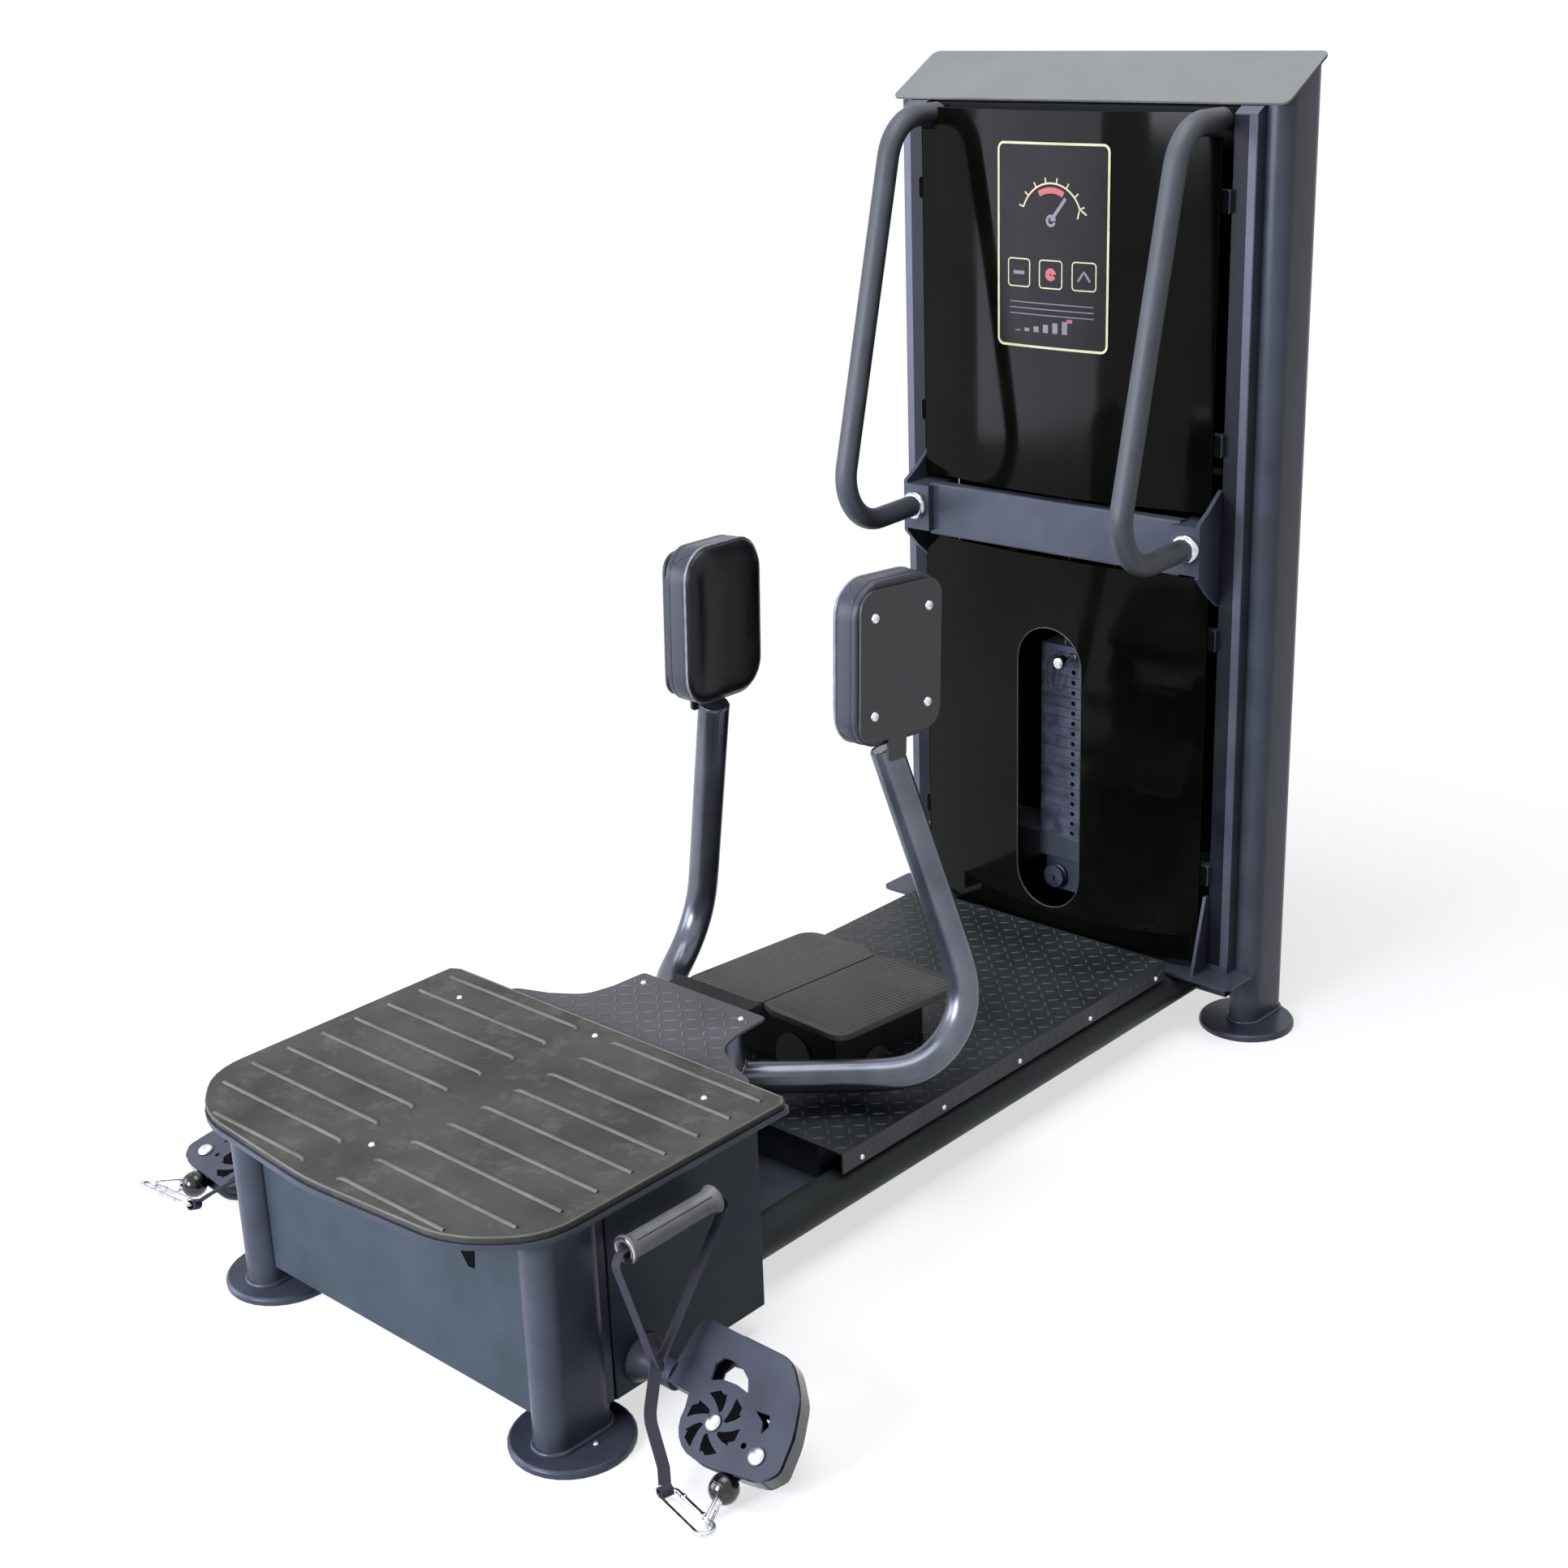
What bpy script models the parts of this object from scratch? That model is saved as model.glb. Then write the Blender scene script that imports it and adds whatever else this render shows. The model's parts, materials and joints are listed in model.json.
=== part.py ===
"""Standing hip and glute machine: a weight tower, a raised standing platform, two swinging padded arms
and two swivel pulleys with hand straps.

Metres, +Z up, -Y is the user's end and +Y the tower's end. X = 0 is the plane of symmetry and Z = 0 the floor.
"""

import math

import bmesh
import bpy
from mathutils import Matrix, Vector

# General
GAP = 0.0003
TUBE_WALL = 0.003
SHEET = 0.003

# Tower posts, of flat oval tube
POST_X = 0.371
POST_Y = 0.889
OVAL_HALF_WIDTH = 0.030
OVAL_HALF_DEPTH = 0.060
FOOT_THICKNESS = 0.012
TOWER_FOOT_RADIUS = 0.086
TOWER_FOOT_Y = 0.863
RAIL_WIDTH = 0.0207
RAIL_FRONT_Y = 0.803
RAIL_DEPTH = 0.060

# Sloping cap
CAP_SLOPE = math.radians(30)
CAP_THICKNESS = 0.005
CAP_FRONT_Y = 0.8215
CAP_FRONT_Z = 1.633
CAP_OVERHANG = 0.003
CAP_SHIFT_Y = -0.0045

# Beams between the posts
TOP_BEAM_LOW = 1.560
TOP_BEAM_HIGH = 1.627
TOP_BEAM_FRONT = 0.832
TOP_BEAM_REAR = 0.872
BOTTOM_BEAM_HIGH = 0.111
STACK_BASE_LOW = 0.236
STACK_BASE_HIGH = 0.285

# Bowed acrylic panels
PANEL_FRONT_Y = 0.751
PANEL_THICKNESS = 0.005
PANEL_HALF_WIDTH = 0.307
PANEL_RADIUS = 1.30
UPPER_PANEL = (0.965, 1.620)
LOWER_PANEL = (0.130, 0.850)
SLOT_HALF_WIDTH = 0.070
SLOT = (0.174, 0.720)
PLACARD_HALF_WIDTH = 0.1165
PLACARD = (1.222, 1.569)
PLACARD_THICKNESS = 0.0015
PANEL_TABS = (0.300, 0.740, 1.080, 1.480)
PANEL_TAB_HALF_Z = 0.018
PANEL_TAB_IN_X = 0.288
PANEL_TAB_FRONT_Y = 0.7926

# Cross member and grab bars
MEMBER_FRONT_Y = 0.750
MEMBER_REAR_Y = 0.776
MEMBER = (0.858, 0.955)
BLOCK_FRONT_Y = 0.735
BAR_X = 0.293
BAR_LOW_Z = 0.905
BAR_END_Z = 0.913
BAR_RADIUS = 0.0142
GRIP_RADIUS = 0.0195
GRIP_WALL = 0.005
BAR_COLLAR_RADIUS = 0.0235

# Rear cover, a flat sheet between the posts
COVER_FRONT_Y = 0.9315
COVER_THICKNESS = 0.005
COVER_HALF_WIDTH = 0.343
COVER_LOW = 0.060
COVER_TAB_IN_X = 0.318
COVER_TAB_DEPTH = 0.005

# Weight stack
STACK_HALF_WIDTH = 0.073
STACK_FRONT_Y = 0.830
STACK_REAR_Y = 0.928
STACK_CENTRE_Y = 0.879
STACK_LOW = 0.2853
PLATE_PITCH = 0.020
PLATE_COUNT = 17
STACK_HIGH = STACK_LOW + PLATE_PITCH * PLATE_COUNT
HEAD_HIGH = STACK_HIGH + 0.0387
PIN_Z = HEAD_HIGH - 0.018
ROD_X = 0.050
ROD_RADIUS = 0.008
ROD_HOLE_RADIUS = 0.0095
STEM_RADIUS = 0.0115
STEM_HOLE_RADIUS = 0.0125
SELECTOR_HOLE_RADIUS = 0.005
SELECTOR_SHAFT_RADIUS = 0.0045

# Base
DECK_HALF_WIDTH = 0.283
BASE_TUBE_X = DECK_HALF_WIDTH - 0.021
BASE_TUBE_Z = 0.078
BASE_TUBE_RADIUS = 0.032
DECK_FRONT_Y = -0.175
DECK_REAR_Y = 0.720
DECK_TOP_Z = 0.150
DECK_SKIRT_Z = 0.1146
DECK_SHEET = 0.004

# Front box, legs and platform
BOX_FRONT_Y = -0.825
BOX_REAR_Y = -0.432
BOX_LOW = 0.042
BOX_HIGH = 0.3385
BOX_HALF_WIDTH = 0.352
LEG_X = BOX_HALF_WIDTH - 0.028
LEG_Y = -0.790
FRONT_FOOT_RADIUS = 0.0887
PLATFORM_HALF_WIDTH = BOX_HALF_WIDTH + 0.016
PLATFORM_REAR_Y = -0.375
PLATFORM_FRONT_Y = -0.9513
PLATFORM_TOP_Z = 0.347
MAT_TOP_Z = 0.358
MAT_INSET = 0.004
NECK_THICKNESS = 0.005
NECK_REAR_Y = -0.175

# Foot plates
FOOT_PLATE_TOP_Z = 0.264
FOOT_PLATE_THICKNESS = 0.012
FOOT_PLATE_HALF_WIDTH = 0.177
FOOT_PLATE_FRONT_Y = -0.0515
FOOT_PLATE_REAR_Y = 0.2704
FOOT_PLATE_FALL_OUT = 0.0395
FOOT_PLATE_FALL_BACK = 0.0659
FOOT_PLATE_MID_Y = 0.105

# Swinging arms
PIVOT_X = 0.052
PIVOT_Y = -0.184
PIVOT_RADIUS = 0.0145
HUB_BORE = 0.0148
HUB_RADIUS = 0.030
HUB_LOW = 0.1725
HUB_HIGH = 0.3175
ARM_RUN_Z = 0.210
ARM_RADIUS = 0.0262

# Pads
PAD_Y = 0.0715
PAD_Z = 0.8674
PAD_BACK_X = 0.2095
PAD_HALF_Y = 0.0935
PAD_HALF_Z = 0.1303
PAD_CORNER = 0.0495
PAD_PLATE_HALF_Y = 0.088
PAD_PLATE_HALF_Z = 0.119
PAD_PLATE_THICKNESS = 0.005
PAD_TAB_REACH = 0.1560
PAD_LEAN = math.radians(-2.2)
PAD_TOE = math.radians(-4.4)

# Swivel pulleys. a runs outwards from the box's side, b runs from the swivel axis towards the ball
SWIVEL_Y = -0.6785
SWIVEL_Z = 0.0845
SWIVEL_RIGHT = math.radians(52)
SWIVEL_LEFT = math.radians(75)
SWIVEL_X0 = BOX_HALF_WIDTH + GAP
SPIGOT_PIN_RADIUS = 0.0102
SWIVEL_BORE = 0.0105
HOUSING_HALF = 0.016
HOUSING_PLATE = 0.004
SHEAVE_A = 0.169
SHEAVE_B = 0.035
BALL_A = 0.2244
BALL_B = 0.0999
SHEAVE_RADIUS = 0.046
SHEAVE_GROOVE_RADIUS = 0.040
SHEAVE_HALF = 0.0112
SHEAVE_BORE = 0.0063
AXLE_RADIUS = 0.006
BALL_RADIUS = 0.021
STRAP_GRIP_X = BOX_HALF_WIDTH + 0.037
STRAP_JOIN_X = BOX_HALF_WIDTH + 0.078
LINK_FAR_X = SWIVEL_X0 + 0.2477
STUB_START_B = 0.058


def new_collection(name):
    made = bpy.data.collections.new(name)
    bpy.context.scene.collection.children.link(made)
    return made


for leftover in list(bpy.data.objects):
    bpy.data.objects.remove(leftover)

MACHINE = new_collection("glute_machine")
HELPERS = new_collection("helpers")
HELPERS.hide_render = True


def linear(code):
    """The linear colour of a six-digit sRGB code."""
    parts = [int(code[i : i + 2], 16) / 255 for i in (0, 2, 4)]
    return [c / 12.92 if c <= 0.04045 else ((c + 0.055) / 1.055) ** 2.4 for c in parts] + [1.0]


def material(name, code, roughness, metallic):
    made = bpy.data.materials.new(name)
    made.use_nodes = True
    shader = made.node_tree.nodes["Principled BSDF"]
    shader.inputs["Base Color"].default_value = linear(code)
    shader.inputs["Roughness"].default_value = roughness
    shader.inputs["Metallic"].default_value = metallic
    made.diffuse_color = linear(code)
    return made


COAT = material("powder_coat", "4a4d5c", 0.45, 0.3)
BOX_COAT = material("box_coat", "4b5560", 0.55, 0.2)
CAP_COAT = material("cap_coat", "8e9190", 0.5, 0.2)
DIAMOND = material("diamond_plate", "3f4042", 0.5, 0.4)
MAT_RUBBER = material("mat_rubber", "565650", 0.8, 0.0)
FOOT_RUBBER = material("foot_rubber", "2b2d31", 0.6, 0.0)
GRIP_RUBBER = material("grip_rubber", "3a3c3f", 0.6, 0.0)
ACRYLIC = material("black_acrylic", "0e110c", 0.08, 0.0)
PLACARD_FACE = material("placard_face", "1c1a14", 0.3, 0.0)
VINYL = material("pad_vinyl", "17181c", 0.4, 0.0)
BACK_SHEET = material("back_sheet", "2b2f30", 0.5, 0.1)
WEIGHT_IRON = material("weight_iron", "5b5d70", 0.5, 0.5)
CHROME = material("chrome", "d8dade", 0.2, 1.0)
DARK_STEEL = material("dark_steel", "222426", 0.5, 0.6)
WEBBING = material("webbing", "3b3c42", 0.8, 0.0)
BALL_PLASTIC = material("ball_plastic", "1a1b20", 0.15, 0.0)


def evaluated(obj):
    """The mesh of a helper object with its modifiers applied; the helper is removed."""
    bpy.context.view_layer.update()
    graph = bpy.context.evaluated_depsgraph_get()
    mesh = bpy.data.meshes.new_from_object(obj.evaluated_get(graph))
    mesh.transform(obj.matrix_world)
    bpy.data.objects.remove(obj)
    return cleaned(mesh)


def cleaned(mesh):
    work = bmesh.new()
    work.from_mesh(mesh)
    bmesh.ops.remove_doubles(work, verts=work.verts, dist=0.000002)
    bmesh.ops.recalc_face_normals(work, faces=work.faces)
    work.to_mesh(mesh)
    work.free()
    return mesh


def helper(name, data):
    obj = bpy.data.objects.new(name, data)
    obj.display_type = "WIRE"
    HELPERS.objects.link(obj)
    return obj


def piece(name, mesh, look, smooth=False, origin=None):
    """One visible piece, with its origin on the given point."""
    if origin:
        mesh.transform(Matrix.Translation(-Vector(origin)))
    obj = bpy.data.objects.new(name, mesh)
    obj.location = origin or (0, 0, 0)
    mesh.materials.clear()
    mesh.materials.append(look)
    mesh.shade_flat()
    if smooth:
        for face in mesh.polygons:
            face.use_smooth = True
        sharp = mesh.attributes.new("sharp_edge", "BOOLEAN", "EDGE")
        work = bmesh.new()
        work.from_mesh(mesh)
        work.edges.ensure_lookup_table()
        for edge in work.edges:
            wide = len(edge.link_faces) == 2 and edge.calc_face_angle() > math.radians(35)
            sharp.data[edge.index].value = wide
        work.free()
    MACHINE.objects.link(obj)
    return obj


def round_corners(points, radii, closed=False, step=math.radians(18)):
    """A polyline with each inner corner turned into an arc."""
    points = [Vector(p) for p in points]
    if not hasattr(radii, "__len__"):
        radii = [radii] * len(points)
    count = len(points)
    made = []
    for i, here in enumerate(points):
        if not closed and i in (0, count - 1):
            made.append(here)
            continue
        radius = radii[i]
        back = (points[i - 1] - here).normalized()
        ahead = (points[(i + 1) % count] - here).normalized()
        turn = math.pi - back.angle(ahead)
        if radius <= 0 or turn < 0.01:
            made.append(here)
            continue
        reach = radius * math.tan(turn / 2)
        centre = here + (back + ahead).normalized() * (radius / math.cos(turn / 2))
        first = (here + back * reach - centre).normalized()
        last = (here + ahead * reach - centre).normalized()
        steps = max(2, math.ceil(turn / step))
        for k in range(steps + 1):
            made.append(centre + first.slerp(last, k / steps) * radius)
    return made


def oval(centre_x, centre_y, half_x, half_y, steps=7):
    """A flat oval, long along its second axis."""
    made = []
    straight = half_y - half_x
    for end, side in ((1, 0.0), (-1, math.pi)):
        for k in range(steps + 1):
            angle = side + math.pi * k / steps
            made.append((centre_x + half_x * math.cos(angle),
                         centre_y + end * straight + half_x * math.sin(angle)))
    return made


def circle(centre_x, centre_y, radius, steps=20):
    return [(centre_x + radius * math.cos(2 * math.pi * k / steps),
             centre_y + radius * math.sin(2 * math.pi * k / steps)) for k in range(steps)]


def rectangle(low_x, high_x, low_y, high_y, radius=0.0, step=math.radians(18)):
    corners = [(low_x, low_y), (high_x, low_y), (high_x, high_y), (low_x, high_y)]
    return round_corners(corners, radius, True, step) if radius else corners


AXES = {
    "Z": Matrix.Identity(4),
    "X": Matrix(((0, 0, 1, 0), (1, 0, 0, 0), (0, 1, 0, 0), (0, 0, 0, 1))),
    "Y": Matrix(((1, 0, 0, 0), (0, 0, -1, 0), (0, 1, 0, 0), (0, 0, 0, 1))),
}


def prism(outline, low, high, axis="Z", holes=()):
    """A flat outline with holes, drawn as a filled curve and extruded from low to high along an axis."""
    data = bpy.data.curves.new("outline", "CURVE")
    data.dimensions = "2D"
    data.fill_mode = "BOTH"
    data.extrude = (high - low) / 2
    for ring in (outline, *holes):
        spline = data.splines.new("POLY")
        spline.points.add(len(ring) - 1)
        spline.use_cyclic_u = True
        for slot, point in zip(spline.points, ring):
            slot.co = (point[0], point[1], 0, 1)
    mesh = evaluated(helper("outline", data))
    middle = (high + low) / 2
    if axis == "Y":
        middle = -middle
    mesh.transform(AXES[axis] @ Matrix.Translation((0, 0, middle)))
    return cleaned(mesh)


def block(x, y, z):
    work = bmesh.new()
    bmesh.ops.create_cube(work, size=1.0)
    mesh = bpy.data.meshes.new("block")
    work.to_mesh(mesh)
    work.free()
    size = Matrix.Diagonal((x[1] - x[0], y[1] - y[0], z[1] - z[0], 1))
    mesh.transform(Matrix.Translation(((x[0] + x[1]) / 2, (y[0] + y[1]) / 2, (z[0] + z[1]) / 2)) @ size)
    return mesh


def rod(start, end, radius, steps=16):
    start = Vector(start)
    end = Vector(end)
    work = bmesh.new()
    bmesh.ops.create_cone(work, cap_ends=True, segments=steps, radius1=radius, radius2=radius,
                          depth=(end - start).length)
    mesh = bpy.data.meshes.new("rod")
    work.to_mesh(mesh)
    work.free()
    turn = (end - start).to_track_quat("Z", "Y").to_matrix().to_4x4()
    mesh.transform(Matrix.Translation((start + end) / 2) @ turn)
    return mesh


def turned(profile, steps=20):
    """A profile of (radius, height) points turned about the Z axis."""
    data = bpy.data.meshes.new("profile")
    work = bmesh.new()
    verts = [work.verts.new((r, 0, z)) for r, z in profile]
    for a, b in zip(verts, verts[1:]):
        work.edges.new((a, b))
    if profile[0][0] > 0:
        work.edges.new((verts[-1], verts[0]))
    work.to_mesh(data)
    work.free()
    obj = helper("turned", data)
    screw = obj.modifiers.new("turn", "SCREW")
    screw.steps = steps
    screw.render_steps = steps
    screw.use_merge_vertices = True
    screw.merge_threshold = 0.00001
    return evaluated(obj)


def placed(mesh, matrix):
    mesh.transform(matrix)
    return cleaned(mesh)


def along(direction, at):
    """The matrix that lays the Z axis along a direction at a point."""
    turn = Vector(direction).to_track_quat("Z", "Y").to_matrix().to_4x4()
    return Matrix.Translation(at) @ turn


def skin(rings, capped=True, looped=False):
    """Quads between rings of equal count, with flat ends."""
    work = bmesh.new()
    made = [[work.verts.new(p) for p in ring] for ring in rings]
    pairs = list(zip(made, made[1:]))
    if looped:
        pairs.append((made[-1], made[0]))
    for low, high in pairs:
        for k in range(len(low)):
            n = (k + 1) % len(low)
            work.faces.new((low[k], low[n], high[n], high[k]))
    if capped and not looped:
        work.faces.new(list(reversed(made[0])))
        work.faces.new(made[-1])
    bmesh.ops.recalc_face_normals(work, faces=work.faces)
    mesh = bpy.data.meshes.new("skin")
    work.to_mesh(mesh)
    work.free()
    return mesh


def sections(path, section, across, looped=False):
    """Rings of a section carried along a path without twist."""
    path = [Vector(p) for p in path]
    count = len(path)
    tangents = []
    for i in range(count):
        if looped:
            before, after = path[i - 1], path[(i + 1) % count]
        else:
            before, after = path[max(i - 1, 0)], path[min(i + 1, count - 1)]
        tangents.append((after - before).normalized())
    side = Vector(across)
    rings = []
    for i, (point, tangent) in enumerate(zip(path, tangents)):
        if i:
            side = tangents[i - 1].rotation_difference(tangent) @ side
        side = (side - side.dot(tangent) * tangent).normalized()
        other = tangent.cross(side)
        rings.append([point + side * u + other * v for u, v in section])
    return rings


def sweep(path, section, across, looped=False):
    return skin(sections(path, section, across, looped), looped=looped)


def pipe(path, section, bore, across):
    """A hollow tube along a path: outer rings, then inner rings back to the start."""
    outer = sections(path, section, across)
    inner = sections(path, bore, across)
    work = bmesh.new()
    outside = [[work.verts.new(p) for p in ring] for ring in outer]
    inside = [[work.verts.new(p) for p in ring] for ring in inner]
    count = len(section)
    for k in range(count):
        n = (k + 1) % count
        for low, high in zip(outside, outside[1:]):
            work.faces.new((low[k], low[n], high[n], high[k]))
        for low, high in zip(inside, inside[1:]):
            work.faces.new((low[n], low[k], high[k], high[n]))
        for a, b in ((outside[0], inside[0]), (inside[-1], outside[-1])):
            work.faces.new((a[n], a[k], b[k], b[n]))
    bmesh.ops.recalc_face_normals(work, faces=work.faces)
    mesh = bpy.data.meshes.new("pipe")
    work.to_mesh(mesh)
    work.free()
    return mesh


def combined(mesh, others, operation, solver="EXACT"):
    """The mesh with others added to it or cut from it, one after another."""
    obj = helper("base", mesh)
    tools = []
    for other in others:
        tool = helper("tool", cleaned(other))
        change = obj.modifiers.new("combine", "BOOLEAN")
        change.operation = operation
        change.solver = solver
        change.object = tool
        tools.append(tool)
    made = evaluated(obj)
    for tool in tools:
        bpy.data.objects.remove(tool)
    return made


def cut(mesh, *others):
    return combined(mesh, others, "DIFFERENCE")


def united(mesh, *others):
    return combined(mesh, others, "UNION")


def mirrored(mesh):
    """A copy on the other side of X = 0."""
    copy = mesh.copy()
    copy.transform(Matrix.Diagonal((-1, 1, 1, 1)))
    return cleaned(copy)


def pair(name, mesh, look, smooth=False, origin=None):
    """The right-hand piece and its mirror image."""
    left_origin = (-origin[0], origin[1], origin[2]) if origin else None
    other = mirrored(mesh)
    piece(name + "_right", mesh, look, smooth, origin)
    piece(name + "_left", other, look, smooth, left_origin)


# Tower feet and front feet: flat turned discs with a rounded upper edge


def foot_disc(radius):
    edge = 0.004
    profile = [(0, FOOT_THICKNESS), (radius - edge, FOOT_THICKNESS), (radius, FOOT_THICKNESS - edge), (radius, 0),
               (0, 0)]
    return turned(profile, 32)


pair("tower_foot", placed(foot_disc(TOWER_FOOT_RADIUS), Matrix.Translation((POST_X, TOWER_FOOT_Y, 0))), COAT, True)
pair("front_foot", placed(foot_disc(FRONT_FOOT_RADIUS), Matrix.Translation((LEG_X, LEG_Y, 0))), COAT, True)

# Posts, cut to the slope of the cap


def oval_tube(x, y, low, high):
    outer = oval(x, y, OVAL_HALF_WIDTH, OVAL_HALF_DEPTH)
    inner = oval(x, y, OVAL_HALF_WIDTH - TUBE_WALL, OVAL_HALF_DEPTH - TUBE_WALL)
    return prism(outer, low, high, "Z", [inner])


cap_under = CAP_FRONT_Z - CAP_THICKNESS / math.cos(CAP_SLOPE) - GAP
slope_cutter = prism([(0.70, cap_under + (0.70 - CAP_FRONT_Y) * math.tan(CAP_SLOPE)),
                      (1.05, cap_under + (1.05 - CAP_FRONT_Y) * math.tan(CAP_SLOPE)),
                      (1.05, 2.0), (0.70, 2.0)], POST_X - 0.08, POST_X + 0.05, "X")
post = oval_tube(POST_X, POST_Y, FOOT_THICKNESS + GAP, 1.76)

# Rails welded along the inner side of the posts, with tabs for the panels and the rear cover

RAIL_IN_X = POST_X - OVAL_HALF_WIDTH - RAIL_WIDTH
RAIL_OUT_X = POST_X - 0.009
RAIL_REAR_Y = RAIL_FRONT_Y + RAIL_DEPTH
curve_y = POST_Y - OVAL_HALF_DEPTH + OVAL_HALF_WIDTH


def on_curve(inset, degrees):
    """A point of the post's front curve, set in from its outer face."""
    radius = OVAL_HALF_WIDTH - inset
    return (POST_X + radius * math.cos(math.radians(degrees)), curve_y + radius * math.sin(math.radians(degrees)))


rail_outer = [(RAIL_IN_X, RAIL_FRONT_Y), (RAIL_OUT_X, RAIL_FRONT_Y)]
rail_outer += [on_curve(0.0015, t) for t in (251.6, 240, 225, 210, 195, 180)]
rail_outer += [(POST_X - OVAL_HALF_WIDTH + 0.0015, RAIL_REAR_Y), (RAIL_IN_X, RAIL_REAR_Y)]
rail_inner = [(RAIL_IN_X + 0.002, RAIL_FRONT_Y + 0.002), (RAIL_OUT_X - 0.002, RAIL_FRONT_Y + 0.002)]
rail_inner += [on_curve(-0.0015, t) for t in (249, 240, 225, 210, 195, 180)]
rail_inner += [(POST_X - OVAL_HALF_WIDTH - 0.0015, RAIL_REAR_Y - 0.002), (RAIL_IN_X + 0.002, RAIL_REAR_Y - 0.002)]
TIE_TOP = 0.1165
rail = prism(rail_outer, TIE_TOP + GAP, 1.76, "Z", [rail_inner])
panel_tabs = [block((PANEL_TAB_IN_X, RAIL_IN_X + 0.0015), (PANEL_TAB_FRONT_Y, RAIL_FRONT_Y + 0.012),
                    (z - PANEL_TAB_HALF_Z, z + PANEL_TAB_HALF_Z)) for z in PANEL_TABS]
cover_tabs = [block((COVER_TAB_IN_X, POST_X - OVAL_HALF_WIDTH + 0.0036),
                    (COVER_FRONT_Y - GAP - COVER_TAB_DEPTH, COVER_FRONT_Y - GAP),
                    (z - PANEL_TAB_HALF_Z, z + PANEL_TAB_HALF_Z)) for z in PANEL_TABS]
post = united(post, rail, *panel_tabs, *cover_tabs)
pair("post", cut(post, slope_cutter), COAT, True)

cover_high = cap_under + (COVER_FRONT_Y - CAP_FRONT_Y) * math.tan(CAP_SLOPE) - 0.004
cover_outline = rectangle(-COVER_HALF_WIDTH, COVER_HALF_WIDTH, COVER_LOW, cover_high, 0.006)
cover = prism(cover_outline, COVER_FRONT_Y, COVER_FRONT_Y + COVER_THICKNESS, "Y")
piece("rear_cover", cover, ACRYLIC)

# Cap: a stadium plate laid on the slope

cap_half_x = POST_X + OVAL_HALF_WIDTH + CAP_OVERHANG
cap_half_y = (OVAL_HALF_DEPTH + CAP_OVERHANG) / math.cos(CAP_SLOPE)
cap_outline = round_corners([(-cap_half_x, -cap_half_y), (cap_half_x, -cap_half_y),
                             (cap_half_x, cap_half_y), (-cap_half_x, cap_half_y)], 0.014, True)
cap = prism(cap_outline, -CAP_THICKNESS, 0)
cap_centre_y = POST_Y + CAP_SHIFT_Y
cap_rise = (cap_centre_y - CAP_FRONT_Y) * math.tan(CAP_SLOPE)
placed(cap, Matrix.Translation((0, cap_centre_y, CAP_FRONT_Z + cap_rise)) @ Matrix.Rotation(CAP_SLOPE, 4, "X"))
piece("top_cap", cap, CAP_COAT)

# Beams, and the base frame with its pan

BETWEEN_POSTS = POST_X - OVAL_HALF_WIDTH - GAP
BETWEEN_RAILS = RAIL_IN_X - GAP


def beam(half_width, y, z, wall=TUBE_WALL):
    outer = rectangle(y[0], y[1], z[0], z[1], 0.004)
    inner = rectangle(y[0] + wall, y[1] - wall, z[0] + wall, z[1] - wall)
    return prism(outer, -half_width, half_width, "X", [inner])


piece("top_beam", beam(BETWEEN_RAILS, (TOP_BEAM_FRONT, TOP_BEAM_REAR), (TOP_BEAM_LOW, TOP_BEAM_HIGH)), COAT)

LOWER_PULLEY_X = -0.046
LOWER_PULLEY_Z = 0.195
LOWER_PULLEY_RADIUS = 0.022
hanger = block((-0.075, 0.015), (0.853, 0.858), (0.165, STACK_BASE_LOW + 0.001))
hanger_axle = rod((LOWER_PULLEY_X, 0.827, LOWER_PULLEY_Z), (LOWER_PULLEY_X, 0.856, LOWER_PULLEY_Z), 0.004, 16)
stack_base = united(beam(BETWEEN_RAILS, (0.833, 0.925), (STACK_BASE_LOW, STACK_BASE_HIGH)), hanger, hanger_axle)
piece("stack_base", stack_base, COAT)
pulley_profile = [(LOWER_PULLEY_RADIUS, 0.008), (LOWER_PULLEY_RADIUS, 0.005), (LOWER_PULLEY_RADIUS - 0.006, 0.002),
                  (LOWER_PULLEY_RADIUS - 0.006, -0.002), (LOWER_PULLEY_RADIUS, -0.005),
                  (LOWER_PULLEY_RADIUS, -0.008), (0.0045, -0.008), (0.0045, 0.008)]
lower_pulley_at = (LOWER_PULLEY_X, 0.842, LOWER_PULLEY_Z)
lower_pulley = placed(turned(pulley_profile), along((0, 1, 0), lower_pulley_at))
piece("lower_pulley", lower_pulley, WEIGHT_IRON, True, lower_pulley_at)

tie_side = POST_X + 0.029
tie_inner = BASE_TUBE_X - 0.017
tie = prism(round_corners([(tie_inner, 0.745), (tie_side, 0.745), (tie_side, 0.8285), (BETWEEN_POSTS - 0.0007, 0.8285),
                           (BETWEEN_POSTS - 0.0007, 0.86), (tie_inner, 0.86)],
                          [0.004, 0.015, 0.004, 0, 0, 0.004], True), BOTTOM_BEAM_HIGH - 0.0005, TIE_TOP)
strut = prism([(0.755, TIE_TOP - 0.001), (0.8027, TIE_TOP - 0.001), (0.8027, 0.26), (0.793, 0.26)], 0.3135,
              BETWEEN_RAILS, "X")
PAN_HALF_WIDTH = BASE_TUBE_X - BASE_TUBE_RADIUS - GAP
pan = block((-PAN_HALF_WIDTH, PAN_HALF_WIDTH), (BOX_REAR_Y + GAP, 0.836), (0.082, 0.086))
bearers = [block((-PAN_HALF_WIDTH, PAN_HALF_WIDTH), (y, y + 0.040), (0.085, DECK_TOP_Z - DECK_SHEET - GAP))
           for y in (-0.170, 0.250, 0.670)]
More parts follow.
